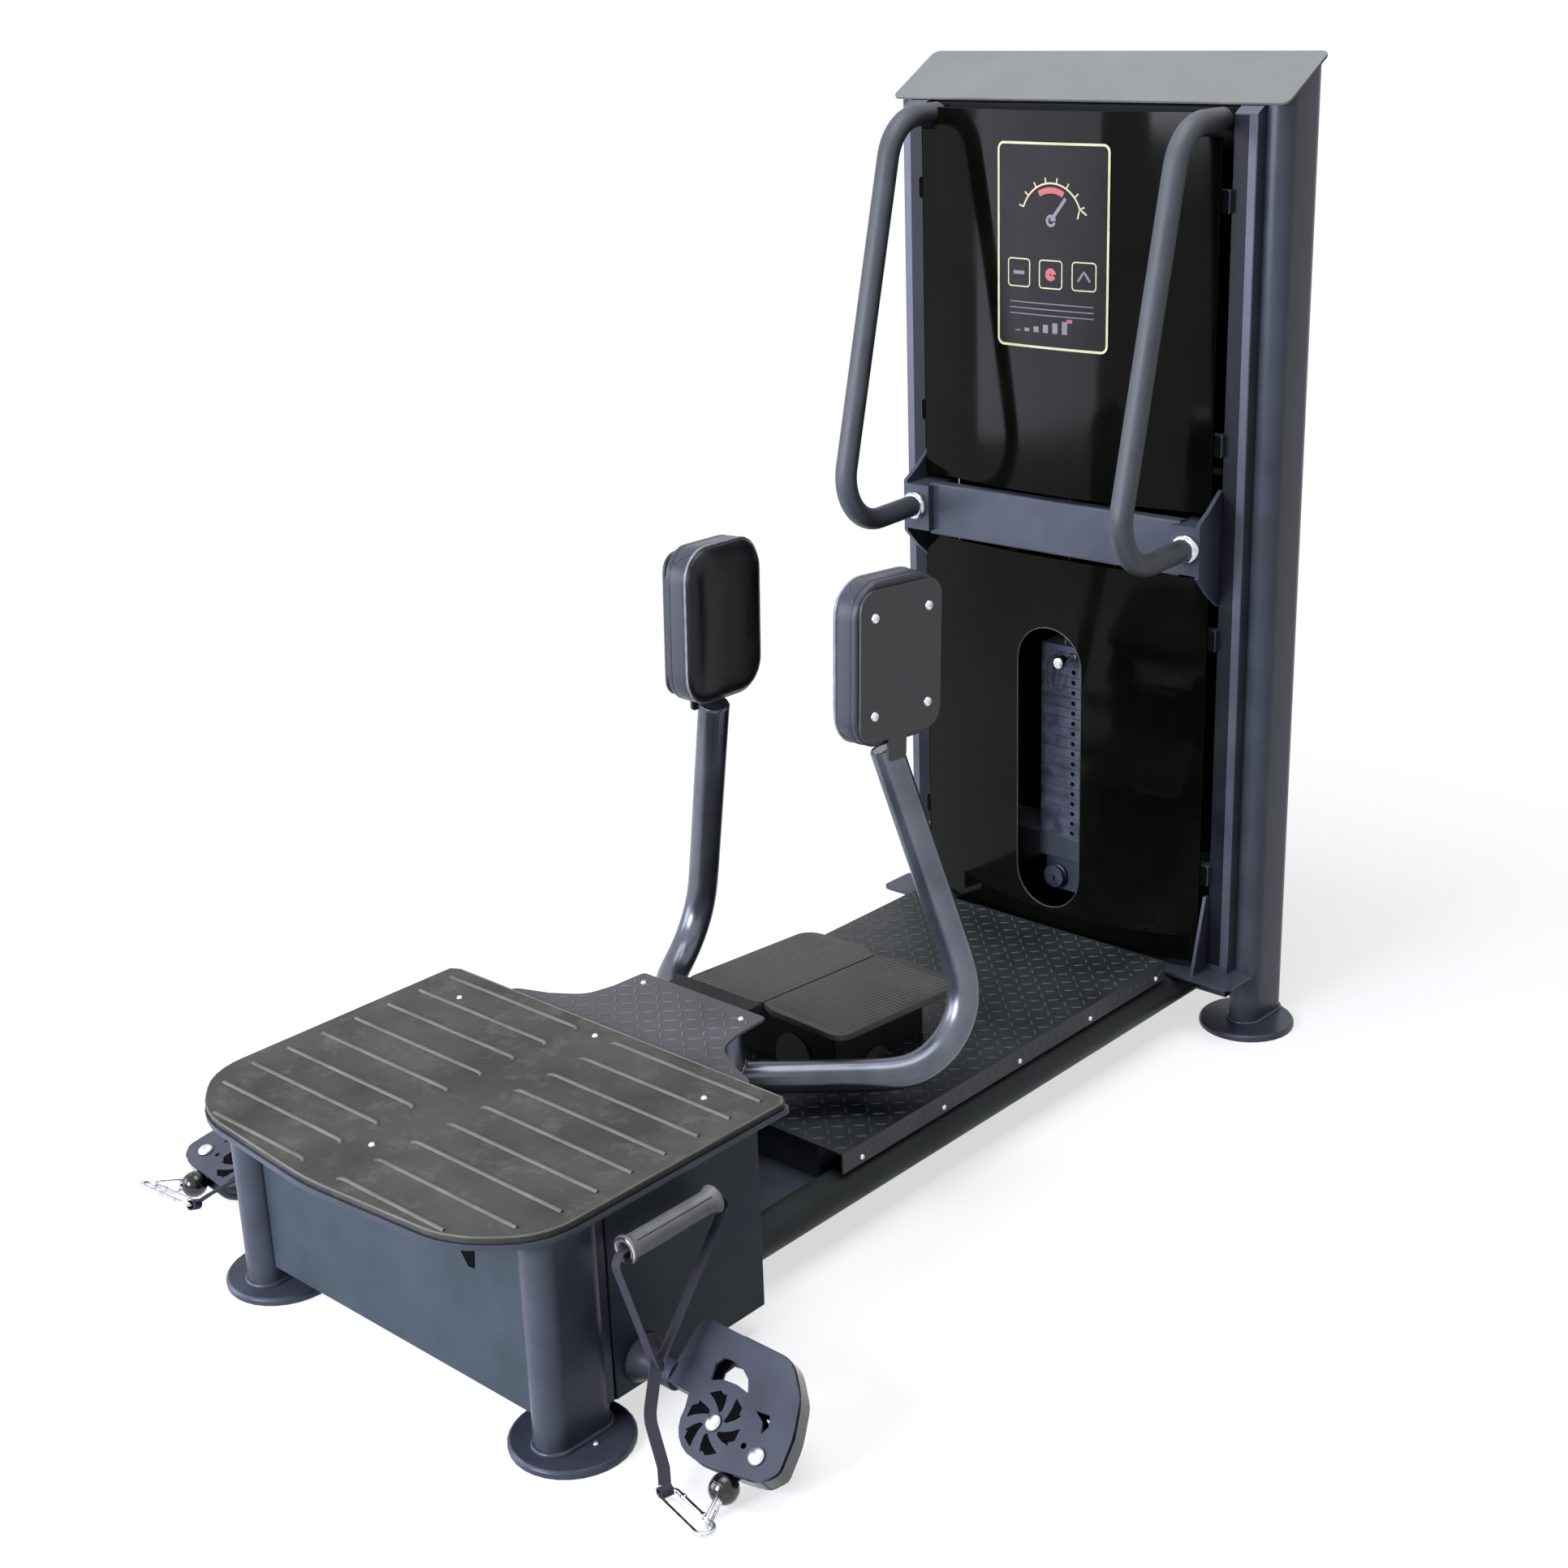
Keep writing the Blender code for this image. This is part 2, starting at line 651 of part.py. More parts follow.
base_frame = united(beam(BETWEEN_POSTS, (0.835, 0.895), (0.050, BOTTOM_BEAM_HIGH)), tie, mirrored(tie), strut,
                    mirrored(strut), pan, *bearers)
piece("base_frame", base_frame, COAT)

# Bowed panels


def bow(x):
    return x * x / (2 * PANEL_RADIUS)


def bowed_sheet(half_width, front_y, thickness, z, steps):
    rings = []
    for k in range(steps + 1):
        x = -half_width + 2 * half_width * k / steps
        y = front_y + bow(x)
        rings.append([(x, y, z[0]), (x, y + thickness, z[0]), (x, y + thickness, z[1]), (x, y, z[1])])
    return skin(rings)


slot_outline = round_corners([(-SLOT_HALF_WIDTH, SLOT[0]), (SLOT_HALF_WIDTH, SLOT[0]),
                              (SLOT_HALF_WIDTH, SLOT[1]), (-SLOT_HALF_WIDTH, SLOT[1])],
                             SLOT_HALF_WIDTH * 0.999, True, math.radians(12))
lower_panel = cut(bowed_sheet(PANEL_HALF_WIDTH, PANEL_FRONT_Y, PANEL_THICKNESS, LOWER_PANEL, 10),
                  prism(slot_outline, 0.70, 0.82, "Y"))
piece("panel_lower", lower_panel, ACRYLIC, True)
corner = block((0.266, 0.330), (0.70, 0.90), (1.582, 1.70))
upper_panel = cut(bowed_sheet(PANEL_HALF_WIDTH, PANEL_FRONT_Y, PANEL_THICKNESS, UPPER_PANEL, 10), corner,
                  mirrored(corner))
piece("panel_upper", upper_panel, ACRYLIC, True)
placard_sheet = bowed_sheet(PLACARD_HALF_WIDTH, PANEL_FRONT_Y - GAP - PLACARD_THICKNESS, PLACARD_THICKNESS,
                            PLACARD, 6)
placard_window = prism(rectangle(-0.3, 0.3, 1.0, 1.8), 0.70, 0.82, "Y",
                       [rectangle(-PLACARD_HALF_WIDTH, PLACARD_HALF_WIDTH, *PLACARD, 0.012)])
piece("placard", cut(placard_sheet, placard_window), PLACARD_FACE, True)

# Cross member with its end blocks and gussets

member = beam(0.270, (MEMBER_FRONT_Y, MEMBER_REAR_Y), MEMBER, 0.003)
end_block = block((BAR_X - 0.031, BAR_X + 0.0195), (BLOCK_FRONT_Y, RAIL_FRONT_Y - GAP), (0.867, 0.9515))
gusset = prism([(BLOCK_FRONT_Y, 0.862), (0.765, 0.830), (RAIL_FRONT_Y - GAP, 0.800), (RAIL_FRONT_Y - GAP, 1.005),
                (0.765, 0.975), (BLOCK_FRONT_Y, 0.957)], BAR_X + 0.019, BETWEEN_RAILS, "X")
cross_member = united(member, end_block, mirrored(end_block), gusset, mirrored(gusset))
piece("cross_member", cross_member, COAT)

# Grab bars: a steel bar in a rubber sleeve

bar_path = round_corners([(BAR_X, TOP_BEAM_FRONT - GAP, 1.607), (BAR_X, 0.689, 1.607), (BAR_X, 0.514, BAR_LOW_Z),
                          (BAR_X, BLOCK_FRONT_Y - GAP - 0.015, BAR_END_Z), (BAR_X, BLOCK_FRONT_Y - GAP, BAR_END_Z)],
                         [0, 0.085, 0.088, 0, 0], step=math.radians(18))
round_10 = circle(0, 0, 1, 10)


def scaled(section, radius):
    return [(u * radius, v * radius) for u, v in section]


collar_front = (BAR_X, BLOCK_FRONT_Y - GAP - 0.006, BAR_END_Z)
collar_back = (BAR_X, BLOCK_FRONT_Y - GAP, BAR_END_Z)
bar = united(sweep(bar_path, scaled(round_10, BAR_RADIUS), (1, 0, 0)),
             rod(collar_front, collar_back, BAR_COLLAR_RADIUS))
pair("grab_bar", bar, CHROME, True)
grip_path = [p.copy() for p in bar_path]
grip_path[0] = grip_path[0] + Vector((0, -0.020, 0))
grip_path[-1] = grip_path[-1] + Vector((0, -0.0085, 0))
grip = pipe(grip_path, scaled(round_10, GRIP_RADIUS), scaled(round_10, GRIP_RADIUS - GRIP_WALL), (1, 0, 0))
pair("bar_grip", grip, GRIP_RUBBER, True)

# Guide rods and weight stack

pair("guide_rod", rod((ROD_X, STACK_CENTRE_Y, STACK_BASE_HIGH + GAP), (ROD_X, STACK_CENTRE_Y, TOP_BEAM_LOW - GAP),
                      ROD_RADIUS), CHROME, True)

groove = 0.0022
groove_half = 0.0010
front_edge = []
rear_edge = []
for k in range(PLATE_COUNT):
    low = STACK_LOW + k * PLATE_PITCH
    high = low + PLATE_PITCH
    low_in = low + (groove_half if k else 0)
    high_in = high - (groove_half if k < PLATE_COUNT - 1 else 0)
    front_edge += [(STACK_FRONT_Y, low_in), (STACK_FRONT_Y, high_in)]
    rear_edge += [(STACK_REAR_Y, low_in), (STACK_REAR_Y, high_in)]
    if k < PLATE_COUNT - 1:
        front_edge.append((STACK_FRONT_Y + groove, high))
        rear_edge.append((STACK_REAR_Y - groove, high))
stack_outline = front_edge + rear_edge[::-1]


def standing_hole(x, radius, low, high, steps=12):
    return rod((x, STACK_CENTRE_Y, low), (x, STACK_CENTRE_Y, high), radius, steps)


HOLE_LOW = STACK_LOW - 0.035
HOLE_HIGH = HEAD_HIGH + 0.086
stack = prism(stack_outline, -STACK_HALF_WIDTH, STACK_HALF_WIDTH, "X")
rod_holes = [standing_hole(side * ROD_X, ROD_HOLE_RADIUS, HOLE_LOW, HOLE_HIGH) for side in (-1, 1)]
stem_hole = standing_hole(0, STEM_HOLE_RADIUS, HOLE_LOW, HOLE_HIGH)
pin_holes = [rod((0, STACK_FRONT_Y - 0.01, STACK_LOW + PLATE_PITCH * (k + 0.5)),
                 (0, STACK_CENTRE_Y, STACK_LOW + PLATE_PITCH * (k + 0.5)), SELECTOR_HOLE_RADIUS, 6)
             for k in range(PLATE_COUNT)]
piece("weight_plates", cut(stack, *rod_holes, stem_hole, *pin_holes), WEIGHT_IRON)

head = block((-STACK_HALF_WIDTH, STACK_HALF_WIDTH), (STACK_FRONT_Y, STACK_REAR_Y), (STACK_HIGH + GAP, HEAD_HIGH))
stem = standing_hole(0, STEM_RADIUS, STACK_LOW + 0.0147, STACK_HIGH + 0.006)
lug_half = 0.024
lug_points = [(STACK_CENTRE_Y - lug_half, HEAD_HIGH - 0.001), (STACK_CENTRE_Y + lug_half, HEAD_HIGH - 0.001),
              (STACK_CENTRE_Y + lug_half, HEAD_HIGH + 0.051), (STACK_CENTRE_Y - lug_half, HEAD_HIGH + 0.051)]
lug = prism(round_corners(lug_points, [0, 0, 0.022, 0.022], True), -0.006, 0.006, "X",
            [circle(STACK_CENTRE_Y, HEAD_HIGH + 0.028, 0.007)])
head = united(head, stem, lug)
rod_holes = [standing_hole(side * ROD_X, ROD_HOLE_RADIUS, HOLE_LOW, HOLE_HIGH) for side in (-1, 1)]
head_pin_hole = rod((0, STACK_FRONT_Y - 0.01, PIN_Z), (0, 0.872, PIN_Z), SELECTOR_HOLE_RADIUS, 16)
head = cut(head, *rod_holes, head_pin_hole)
piece("stack_head", head, WEIGHT_IRON)

knob_at = (0, STACK_FRONT_Y - GAP, PIN_Z)
knob_profile = [(0, 0.052), (0.010, 0.050), (0.0125, 0.046), (0.0125, 0.034), (0.0065, 0.026), (0.0065, 0.006),
                (0.009, 0.004), (0.009, 0), (SELECTOR_SHAFT_RADIUS, 0), (SELECTOR_SHAFT_RADIUS, -0.036),
                (0, -0.038)]
piece("selector_pin", placed(turned(knob_profile, 16), along((0, -1, 0), knob_at)), CHROME, True, knob_at)
loop_y = 0.806
lanyard_points = [(-0.0052, loop_y, PIN_Z + 0.0049), (-0.022, loop_y, PIN_Z + 0.014),
                  (-0.045, loop_y + 0.004, PIN_Z - 0.006), (-0.047, loop_y + 0.006, PIN_Z - 0.056),
                  (-0.034, loop_y + 0.004, PIN_Z - 0.080), (-0.018, loop_y, PIN_Z - 0.046),
                  (-0.0115, loop_y - 0.003, PIN_Z - 0.006)]
lanyard_path = round_corners(lanyard_points, [0, 0.010, 0.012, 0.012, 0.012, 0.012, 0], step=math.radians(20))
piece("pin_lanyard", sweep(lanyard_path, circle(0, 0, 0.0016, 6), (0, 1, 0)), WEBBING, True)

# Base tubes and deck

tube_front = (BASE_TUBE_X, BOX_REAR_Y + GAP, BASE_TUBE_Z)
tube_rear = (BASE_TUBE_X, 0.835 - GAP, BASE_TUBE_Z)
ring_18 = circle(0, 0, 1, 18)
pair("base_tube", pipe([tube_front, tube_rear], scaled(ring_18, BASE_TUBE_RADIUS),
                       scaled(ring_18, BASE_TUBE_RADIUS - TUBE_WALL), (1, 0, 0)), COAT, True)

deck_in = DECK_HALF_WIDTH - DECK_SHEET
deck_outline = [(-DECK_HALF_WIDTH, DECK_SKIRT_Z), (-DECK_HALF_WIDTH, DECK_TOP_Z), (DECK_HALF_WIDTH, DECK_TOP_Z),
                (DECK_HALF_WIDTH, DECK_SKIRT_Z), (deck_in, DECK_SKIRT_Z), (deck_in, DECK_TOP_Z - DECK_SHEET),
                (-deck_in, DECK_TOP_Z - DECK_SHEET), (-deck_in, DECK_SKIRT_Z)]
piece("deck", prism(deck_outline, DECK_FRONT_Y, DECK_REAR_Y, "Y"), DIAMOND)

# Front legs, box and platform

pair("front_leg", oval_tube(LEG_X, LEG_Y, FOOT_THICKNESS + GAP, BOX_HIGH), COAT, True)

NECK_X = LEG_X - OVAL_HALF_WIDTH - GAP
NOTCH_Y = LEG_Y + OVAL_HALF_DEPTH + GAP


def box_outline(inset):
    front = BOX_FRONT_Y + inset
    rear = BOX_REAR_Y - inset
    narrow = NECK_X - inset
    wide = BOX_HALF_WIDTH - inset
    step_y = NOTCH_Y + inset
    return [(-narrow, front), (narrow, front), (narrow, step_y), (wide, step_y), (wide, rear), (-wide, rear),
            (-wide, step_y), (-narrow, step_y)]


box_cavity = prism(box_outline(SHEET), BOX_LOW - 0.01, BOX_HIGH - SHEET)
front_box = combined(prism(box_outline(0), BOX_LOW, BOX_HIGH), [box_cavity], "DIFFERENCE", "MANIFOLD")
piece("front_box", front_box, BOX_COAT)


def platform_outline(inset):
    half = PLATFORM_HALF_WIDTH - inset
    rear = PLATFORM_REAR_Y - inset
    front = PLATFORM_FRONT_Y + inset
    right = [(half, rear), (half, -0.845), (PLATFORM_HALF_WIDTH - 0.098, front + 0.022), (0.0, front)]
    points = right + [(-x, y) for x, y in right[-2::-1]]
    return round_corners(points, [0.012, 0.110, 0.150, 0.4, 0.150, 0.110, 0.012], True, math.radians(12))


PLATFORM_LOW_Z = BOX_HIGH + GAP
piece("platform_plate", prism(platform_outline(0), PLATFORM_LOW_Z, PLATFORM_TOP_Z), COAT)
piece("platform_mat", prism(platform_outline(MAT_INSET), PLATFORM_TOP_Z + GAP, MAT_TOP_Z), MAT_RUBBER)

neck_right = [(BASE_TUBE_X, BOX_REAR_Y + GAP), (BASE_TUBE_X, -0.345), (0.200, -0.322), (0.150, -0.290), (0.138, -0.240),
              (0.1345, NECK_REAR_Y)]
neck_radii = [0, 0.020, 0.030, 0.050, 0.060, 0.008]
neck_points = neck_right + [(-x, y) for x, y in reversed(neck_right)]
neck_outline = round_corners(neck_points, neck_radii + neck_radii[::-1], True)
NECK_TOP_Z = BOX_HIGH
piece("neck_plate", prism(neck_outline, NECK_TOP_Z - NECK_THICKNESS, NECK_TOP_Z), DIAMOND)

# Foot plates on their bracket


def fall(mesh, above=-1.0):
    """Drops the points that lie above a height, to the slope of the foot plates."""
    for vert in mesh.vertices:
        if vert.co.z > above:
            drop = abs(vert.co.x) * FOOT_PLATE_FALL_OUT + (vert.co.y - FOOT_PLATE_MID_Y) * FOOT_PLATE_FALL_BACK
            vert.co.z -= drop
    return mesh


foot_plate_outline = round_corners([(0.0012, FOOT_PLATE_FRONT_Y + 0.012), (0.030, FOOT_PLATE_FRONT_Y),
                                    (FOOT_PLATE_HALF_WIDTH, FOOT_PLATE_FRONT_Y),
                                    (FOOT_PLATE_HALF_WIDTH, FOOT_PLATE_REAR_Y),
                                    (0.045, FOOT_PLATE_REAR_Y), (0.0012, FOOT_PLATE_REAR_Y - 0.025)],
                                   [0.003, 0.010, 0.030, 0.030, 0.012, 0.003], True)
foot_plate = fall(prism(foot_plate_outline, FOOT_PLATE_TOP_Z - FOOT_PLATE_THICKNESS, FOOT_PLATE_TOP_Z))
pair("foot_plate", foot_plate, FOOT_RUBBER)

bracket_top = FOOT_PLATE_TOP_Z - FOOT_PLATE_THICKNESS - GAP
bracket_low = DECK_TOP_Z + GAP


def bracket_body(half, front, rear, inset, low):
    outline = [(-half, low), (half, low), (half, bracket_top - inset), (0, bracket_top - inset),
               (-half, bracket_top - inset)]
    return fall(prism(outline, front, rear, "Y"), 0.2)


bracket = cut(bracket_body(0.120, 0.000, 0.225, 0, bracket_low), bracket_body(0.116, 0.004, 0.221, 0.004, 0.14))
piece("foot_bracket", bracket, DARK_STEEL)

# Pivot frame that carries the arm hubs

spine_half = 0.088
spine_front = BOX_REAR_Y + GAP
spine_rear = -0.135
low_slab = block((-spine_half, spine_half), (spine_front, spine_rear), (bracket_low, HUB_LOW - 0.0005))
high_slab = block((-spine_half, spine_half), (spine_front, spine_rear),
                  (HUB_HIGH + 0.0005, NECK_TOP_Z - NECK_THICKNESS - GAP))
web = block((-spine_half, spine_half), (spine_front, spine_front + 0.030), (bracket_low + 0.001, 0.330))
pins = [rod((side * PIVOT_X, PIVOT_Y, 0.165), (side * PIVOT_X, PIVOT_Y, 0.325), PIVOT_RADIUS) for side in (-1, 1)]
piece("pivot_frame", united(low_slab, high_slab, web, *pins), DARK_STEEL)

# Arms: oval tube from the hub, out along the deck, then up to the pad

arm_radius = Vector((math.cos(math.radians(41.1)), math.sin(math.radians(41.1)), 0))
hub_centre = Vector((PIVOT_X, PIVOT_Y, ARM_RUN_Z))
arm_path = round_corners([hub_centre + arm_radius * (HUB_RADIUS - 0.012), (0.2764, 0.0117, ARM_RUN_Z),
                          (0.3093, 0.1334, 0.2688), (0.1836, 0.0660, 0.7239)], [0, 0.10, 0.1167, 0],
                         step=math.radians(18))
ring_12 = circle(0, 0, 1, 12)
run_across = Vector((-arm_radius.y, arm_radius.x, 0))
arm_tube = pipe(arm_path, scaled(ring_12, ARM_RADIUS), scaled(ring_12, ARM_RADIUS - TUBE_WALL), run_across)
hub = placed(turned([(HUB_RADIUS, HUB_HIGH), (HUB_RADIUS, HUB_LOW), (HUB_BORE, HUB_LOW), (HUB_BORE, HUB_HIGH)]),
             Matrix.Translation((PIVOT_X, PIVOT_Y, 0)))
arm = united(arm_tube, hub)

# Pads


def rounded_ring(x, half_y, half_z, radius, steps=5):
    made = []
    for sy, sz, start in ((1, 1, 0), (-1, 1, 90), (-1, -1, 180), (1, -1, 270)):
        for k in range(steps + 1):
            angle = math.radians(start + 90 * k / steps)
            made.append((x, sy * (half_y - radius) + radius * math.cos(angle),
                         sz * (half_z - radius) + radius * math.sin(angle)))
    return made


pad_levels = [(0.000, 0.010), (0.003, 0.003), (0.010, 0.0005), (0.024, 0.0015), (0.040, 0.0008), (0.048, 0.000),
              (0.055, 0.006), (0.0605, 0.014), (0.0645, 0.026), (0.0670, 0.044), (0.0680, 0.065)]
pad_rings = [rounded_ring(-depth, PAD_HALF_Y - inset, PAD_HALF_Z - inset, max(PAD_CORNER - inset * 0.35, 0.012))
             for depth, inset in pad_levels]
pad = skin(pad_rings)
pad_turn = Matrix.Rotation(PAD_TOE, 4, "Z") @ Matrix.Rotation(PAD_LEAN, 4, "X")
pad_at = Matrix.Translation((PAD_BACK_X, PAD_Y, PAD_Z)) @ pad_turn
placed(pad, pad_at)
pair("pad", pad, VINYL, True)

PLATE_FAR = GAP + PAD_PLATE_THICKNESS
TAB_Y = (-0.027, 0.013)


def tab(grown, low, far):
    """The plate's lower tab, drawn larger by a clearance."""
    points = [(TAB_Y[0] - grown, -PAD_TAB_REACH - grown), (TAB_Y[1] + grown, -PAD_TAB_REACH - grown),
              (TAB_Y[1] + grown, -PAD_PLATE_HALF_Z + 0.02), (TAB_Y[0] - grown, -PAD_PLATE_HALF_Z + 0.02)]
    return placed(prism(round_corners(points, [0.008, 0.008, 0, 0], True), low, far, "X"), pad_at)


back_outline = rectangle(-PAD_PLATE_HALF_Y, PAD_PLATE_HALF_Y, -PAD_PLATE_HALF_Z, PAD_PLATE_HALF_Z, 0.030)
pad_plate = placed(prism(back_outline, GAP, PLATE_FAR, "X"), pad_at)
pair("pad_back", united(pad_plate, tab(0, GAP, PLATE_FAR)), BACK_SHEET)

# The tab sits in a notch of the tube's upper end

arm = cut(arm, tab(GAP, 0, PLATE_FAR + GAP))
pair("arm", arm, COAT, True, (PIVOT_X, PIVOT_Y, ARM_RUN_Z))

# Swivel pulleys


def swivel_frame(angle):
    """Local X runs outwards, local Y from the swivel axis towards the ball."""
    turn = math.atan2(-math.cos(angle), -math.sin(angle))
    return Matrix.Translation((SWIVEL_X0, SWIVEL_Y, SWIVEL_Z)) @ Matrix.Rotation(turn, 4, "X")


def spigot():
    profile = [(0, 0), (0.036, 0), (0.036, 0.004), (0.028, 0.015), (0.0235, 0.030), (0.022, 0.047),
               (SPIGOT_PIN_RADIUS, 0.047), (SPIGOT_PIN_RADIUS, 0.104), (0, 0.104)]
    made = turned(profile[::-1], 20)
    return placed(made, along((1, 0, 0), (SWIVEL_X0, SWIVEL_Y, SWIVEL_Z)))


def vane(turn):
    polar = [(0.020, 0), (0.031, -9), (0.042, 4), (0.030, 12)]
    return [(SHEAVE_A + r * math.cos(math.radians(a) + turn), SHEAVE_B + r * math.sin(math.radians(a) + turn))
            for r, a in polar]


def housing():
    lobe_radius = 0.052
    lobe = [(SHEAVE_A + lobe_radius * math.cos(math.radians(t)), SHEAVE_B + lobe_radius * math.sin(math.radians(t)))
            for t in range(90, 181, 15)]
    band = round_corners([(0.066, 0.015), (0.066, -0.084), (0.228, -0.083), (0.268, -0.044), (0.2885, 0.005),
                          (0.2960, 0.052), (0.279, 0.073), (0.219, 0.0830), (SHEAVE_A, SHEAVE_B + lobe_radius)],
                         [0, 0.016, 0.040, 0.050, 0.100, 0.014, 0.020, 0.050, 0], False, math.radians(25))
    outline = [tuple(p[:2]) for p in band] + lobe[1:] + [(0.110, 0.015)]
    body = prism(outline, -HOUSING_HALF, HOUSING_HALF)
    inner = HOUSING_HALF - HOUSING_PLATE
    pocket = prism([(0.1135, -0.055), (0.218, -0.055), (0.252, -0.030), (0.270, 0.010), (0.274, 0.036),
                    (0.247, 0.054), (0.247, 0.14), (0.09, 0.14), (0.09, 0.0155), (0.1135, 0.0155)], -inner, inner)
    crescent = [(0.130, -0.012), (0.149, -0.0205), (0.171, -0.0225), (0.193, -0.0195), (0.183, -0.035),
                (0.165, -0.045), (0.145, -0.048), (0.131, -0.046), (0.124, -0.033)]
    window = [(0.218, -0.004), (0.241, -0.007), (0.248, 0.007), (0.243, 0.020), (0.236, 0.005)]
    through = [prism(crescent, -0.03, 0.03), prism(window, -0.03, 0.03),
               rod((0.2285, 0.0425, -0.03), (0.2285, 0.0425, 0.03), 0.0045, 8)]
    through += [prism(vane(math.radians(60 * k + 20)), -0.03, 0) for k in range(6)]
    body = cut(body, pocket, *through)
    bolts = []
    for a, b, radius in ((SHEAVE_A, SHEAVE_B, AXLE_RADIUS), (0.255, 0.047, 0.005)):
        bolts.append(rod((a, b, -HOUSING_HALF - 0.001), (a, b, HOUSING_HALF + 0.001), radius, 10))
        for side in (-1, 1):
            bolts.append(rod((a, b, side * (HOUSING_HALF - 0.001)), (a, b, side * (HOUSING_HALF + 0.003)), 0.010, 10))
    collar = rod((0.0475, 0, 0), (0.070, 0, 0), 0.0215)
    body = united(body, collar, *bolts)
    return cut(body, rod((0.040, 0, 0), (0.106, 0, 0), SWIVEL_BORE))


def sheave():
    half = SHEAVE_HALF
    profile = [(SHEAVE_RADIUS, half), (SHEAVE_RADIUS, half - 0.003), (SHEAVE_GROOVE_RADIUS, 0.004),
               (SHEAVE_GROOVE_RADIUS, -0.004), (SHEAVE_RADIUS, -half + 0.003), (SHEAVE_RADIUS, -half),
               (SHEAVE_BORE, -half), (SHEAVE_BORE, half)]
    return placed(turned(profile, 24), Matrix.Translation((SHEAVE_A, SHEAVE_B, 0)))


def build_pulley(tag, frame, flip):
    """One side's pulley set. flip mirrors it to the left."""

    def put(name, mesh, look, smooth=True, origin=None):
        if flip:
            mesh = mirrored(mesh)
            origin = (-origin[0], origin[1], origin[2]) if origin else None
        piece(name + tag, mesh, look, smooth, tuple(origin) if origin else None)

    swivel_at = frame @ Vector((0, 0, 0))
    put("swivel_spigot", spigot(), COAT)
    put("pulley_housing", placed(housing(), frame), COAT, False, swivel_at)
    put("pulley_sheave", placed(sheave(), frame), DARK_STEEL, True, frame @ Vector((SHEAVE_A, SHEAVE_B, 0)))


right_frame = swivel_frame(SWIVEL_RIGHT)
left_frame = swivel_frame(SWIVEL_LEFT)
build_pulley("_right", right_frame, False)
build_pulley("_left", left_frame, True)

# Cable ends, carabiners and hand straps, drawn for the right-hand side and swung over for the left

ball_at = right_frame @ Vector((BALL_A, BALL_B, 0))
tangent_at = Vector((SHEAVE_A + SHEAVE_GROOVE_RADIUS + 0.0027, SHEAVE_B + 0.002, 0))
stub_share = (STUB_START_B - tangent_at.y) / (BALL_B - tangent_at.y)
stub_top = right_frame @ tangent_at.lerp(Vector((BALL_A, BALL_B, 0)), stub_share)
LINK_FAR = Vector((LINK_FAR_X, -0.815, 0.0130))
LINK_HALF_WIDTH = 0.0095
LINK_WIRE = 0.0024
HOOK_HALF_WIDTH = 0.013
HOOK_WIRE = 0.0035
HOOK_LENGTH = 0.107
HOOK_PAST_LINK = 0.022


def obround_loop(start, end, half_width, wire, side):
    """A closed wire loop from start to end, wide along the side direction."""
    forward = (end - start).normalized()
    side = (side - side.dot(forward) * forward).normalized()
    path = []
    for centre, first in ((end - forward * half_width, -90), (start + forward * half_width, 90)):
        for k in range(7):
            angle = math.radians(first + 30 * k)
            path.append(centre + forward * half_width * math.cos(angle) + side * half_width * math.sin(angle))
    return sweep(path, circle(0, 0, wire, 6), forward.cross(side), True)


ball = turned([(0, BALL_RADIUS)] + [(BALL_RADIUS * math.sin(math.radians(t)), BALL_RADIUS * math.cos(math.radians(t)))
                                    for t in range(20, 180, 20)] + [(0, -BALL_RADIUS)], 16)
placed(ball, Matrix.Translation(ball_at))
link_dir = (LINK_FAR - ball_at).normalized()
link = obround_loop(ball_at + link_dir * (BALL_RADIUS - 0.004), LINK_FAR, LINK_HALF_WIDTH, LINK_WIRE,
                    Vector((0, 0, 1)))
stub = rod(stub_top, ball_at, 0.0025, 8)
cable_end = united(ball, stub, link)

hook_along = Vector((-0.97, 0.24, -0.018)).normalized()
hook_side = Vector((0, 0, 1)).cross(hook_along).normalized()
if hook_side.y < 0:
    hook_side = -hook_side
hook_at = LINK_FAR - link_dir * 0.0080
hook_line = hook_at - hook_side * HOOK_HALF_WIDTH
hook_near = hook_line - hook_along * HOOK_PAST_LINK
hook_far = hook_near + hook_along * HOOK_LENGTH
carabiner = obround_loop(hook_near, hook_far, HOOK_HALF_WIDTH, HOOK_WIRE, hook_side)

WEB_HALF_WIDTH = 0.009
WEB_HALF_THICKNESS = 0.0008
STRAP_GRIP_Y = -0.6475
STRAP_TOP_Z = 0.292
GRIP_HALF_LENGTH = 0.084
GRIP_BORE = 0.0095
web_section = [(-WEB_HALF_WIDTH, -WEB_HALF_THICKNESS), (WEB_HALF_WIDTH, -WEB_HALF_THICKNESS),
               (WEB_HALF_WIDTH, WEB_HALF_THICKNESS), (-WEB_HALF_WIDTH, WEB_HALF_THICKNESS)]
strap_join = Vector((STRAP_JOIN_X, -0.726, 0.130))
grip_front = Vector((STRAP_GRIP_X, STRAP_GRIP_Y - GRIP_HALF_LENGTH, STRAP_TOP_Z))
grip_rear = Vector((STRAP_GRIP_X, STRAP_GRIP_Y + GRIP_HALF_LENGTH, STRAP_TOP_Z))
loop_points = [strap_join + Vector((0.0, -0.002, -0.004)), grip_front + Vector((0.004, -0.022, -0.012)),
               grip_front + Vector((0.0, -0.010, 0.0)), grip_rear + Vector((0.0, 0.010, 0.0)),
               grip_rear + Vector((0.004, 0.020, -0.014)), strap_join + Vector((0.002, 0.006, 0.004))]
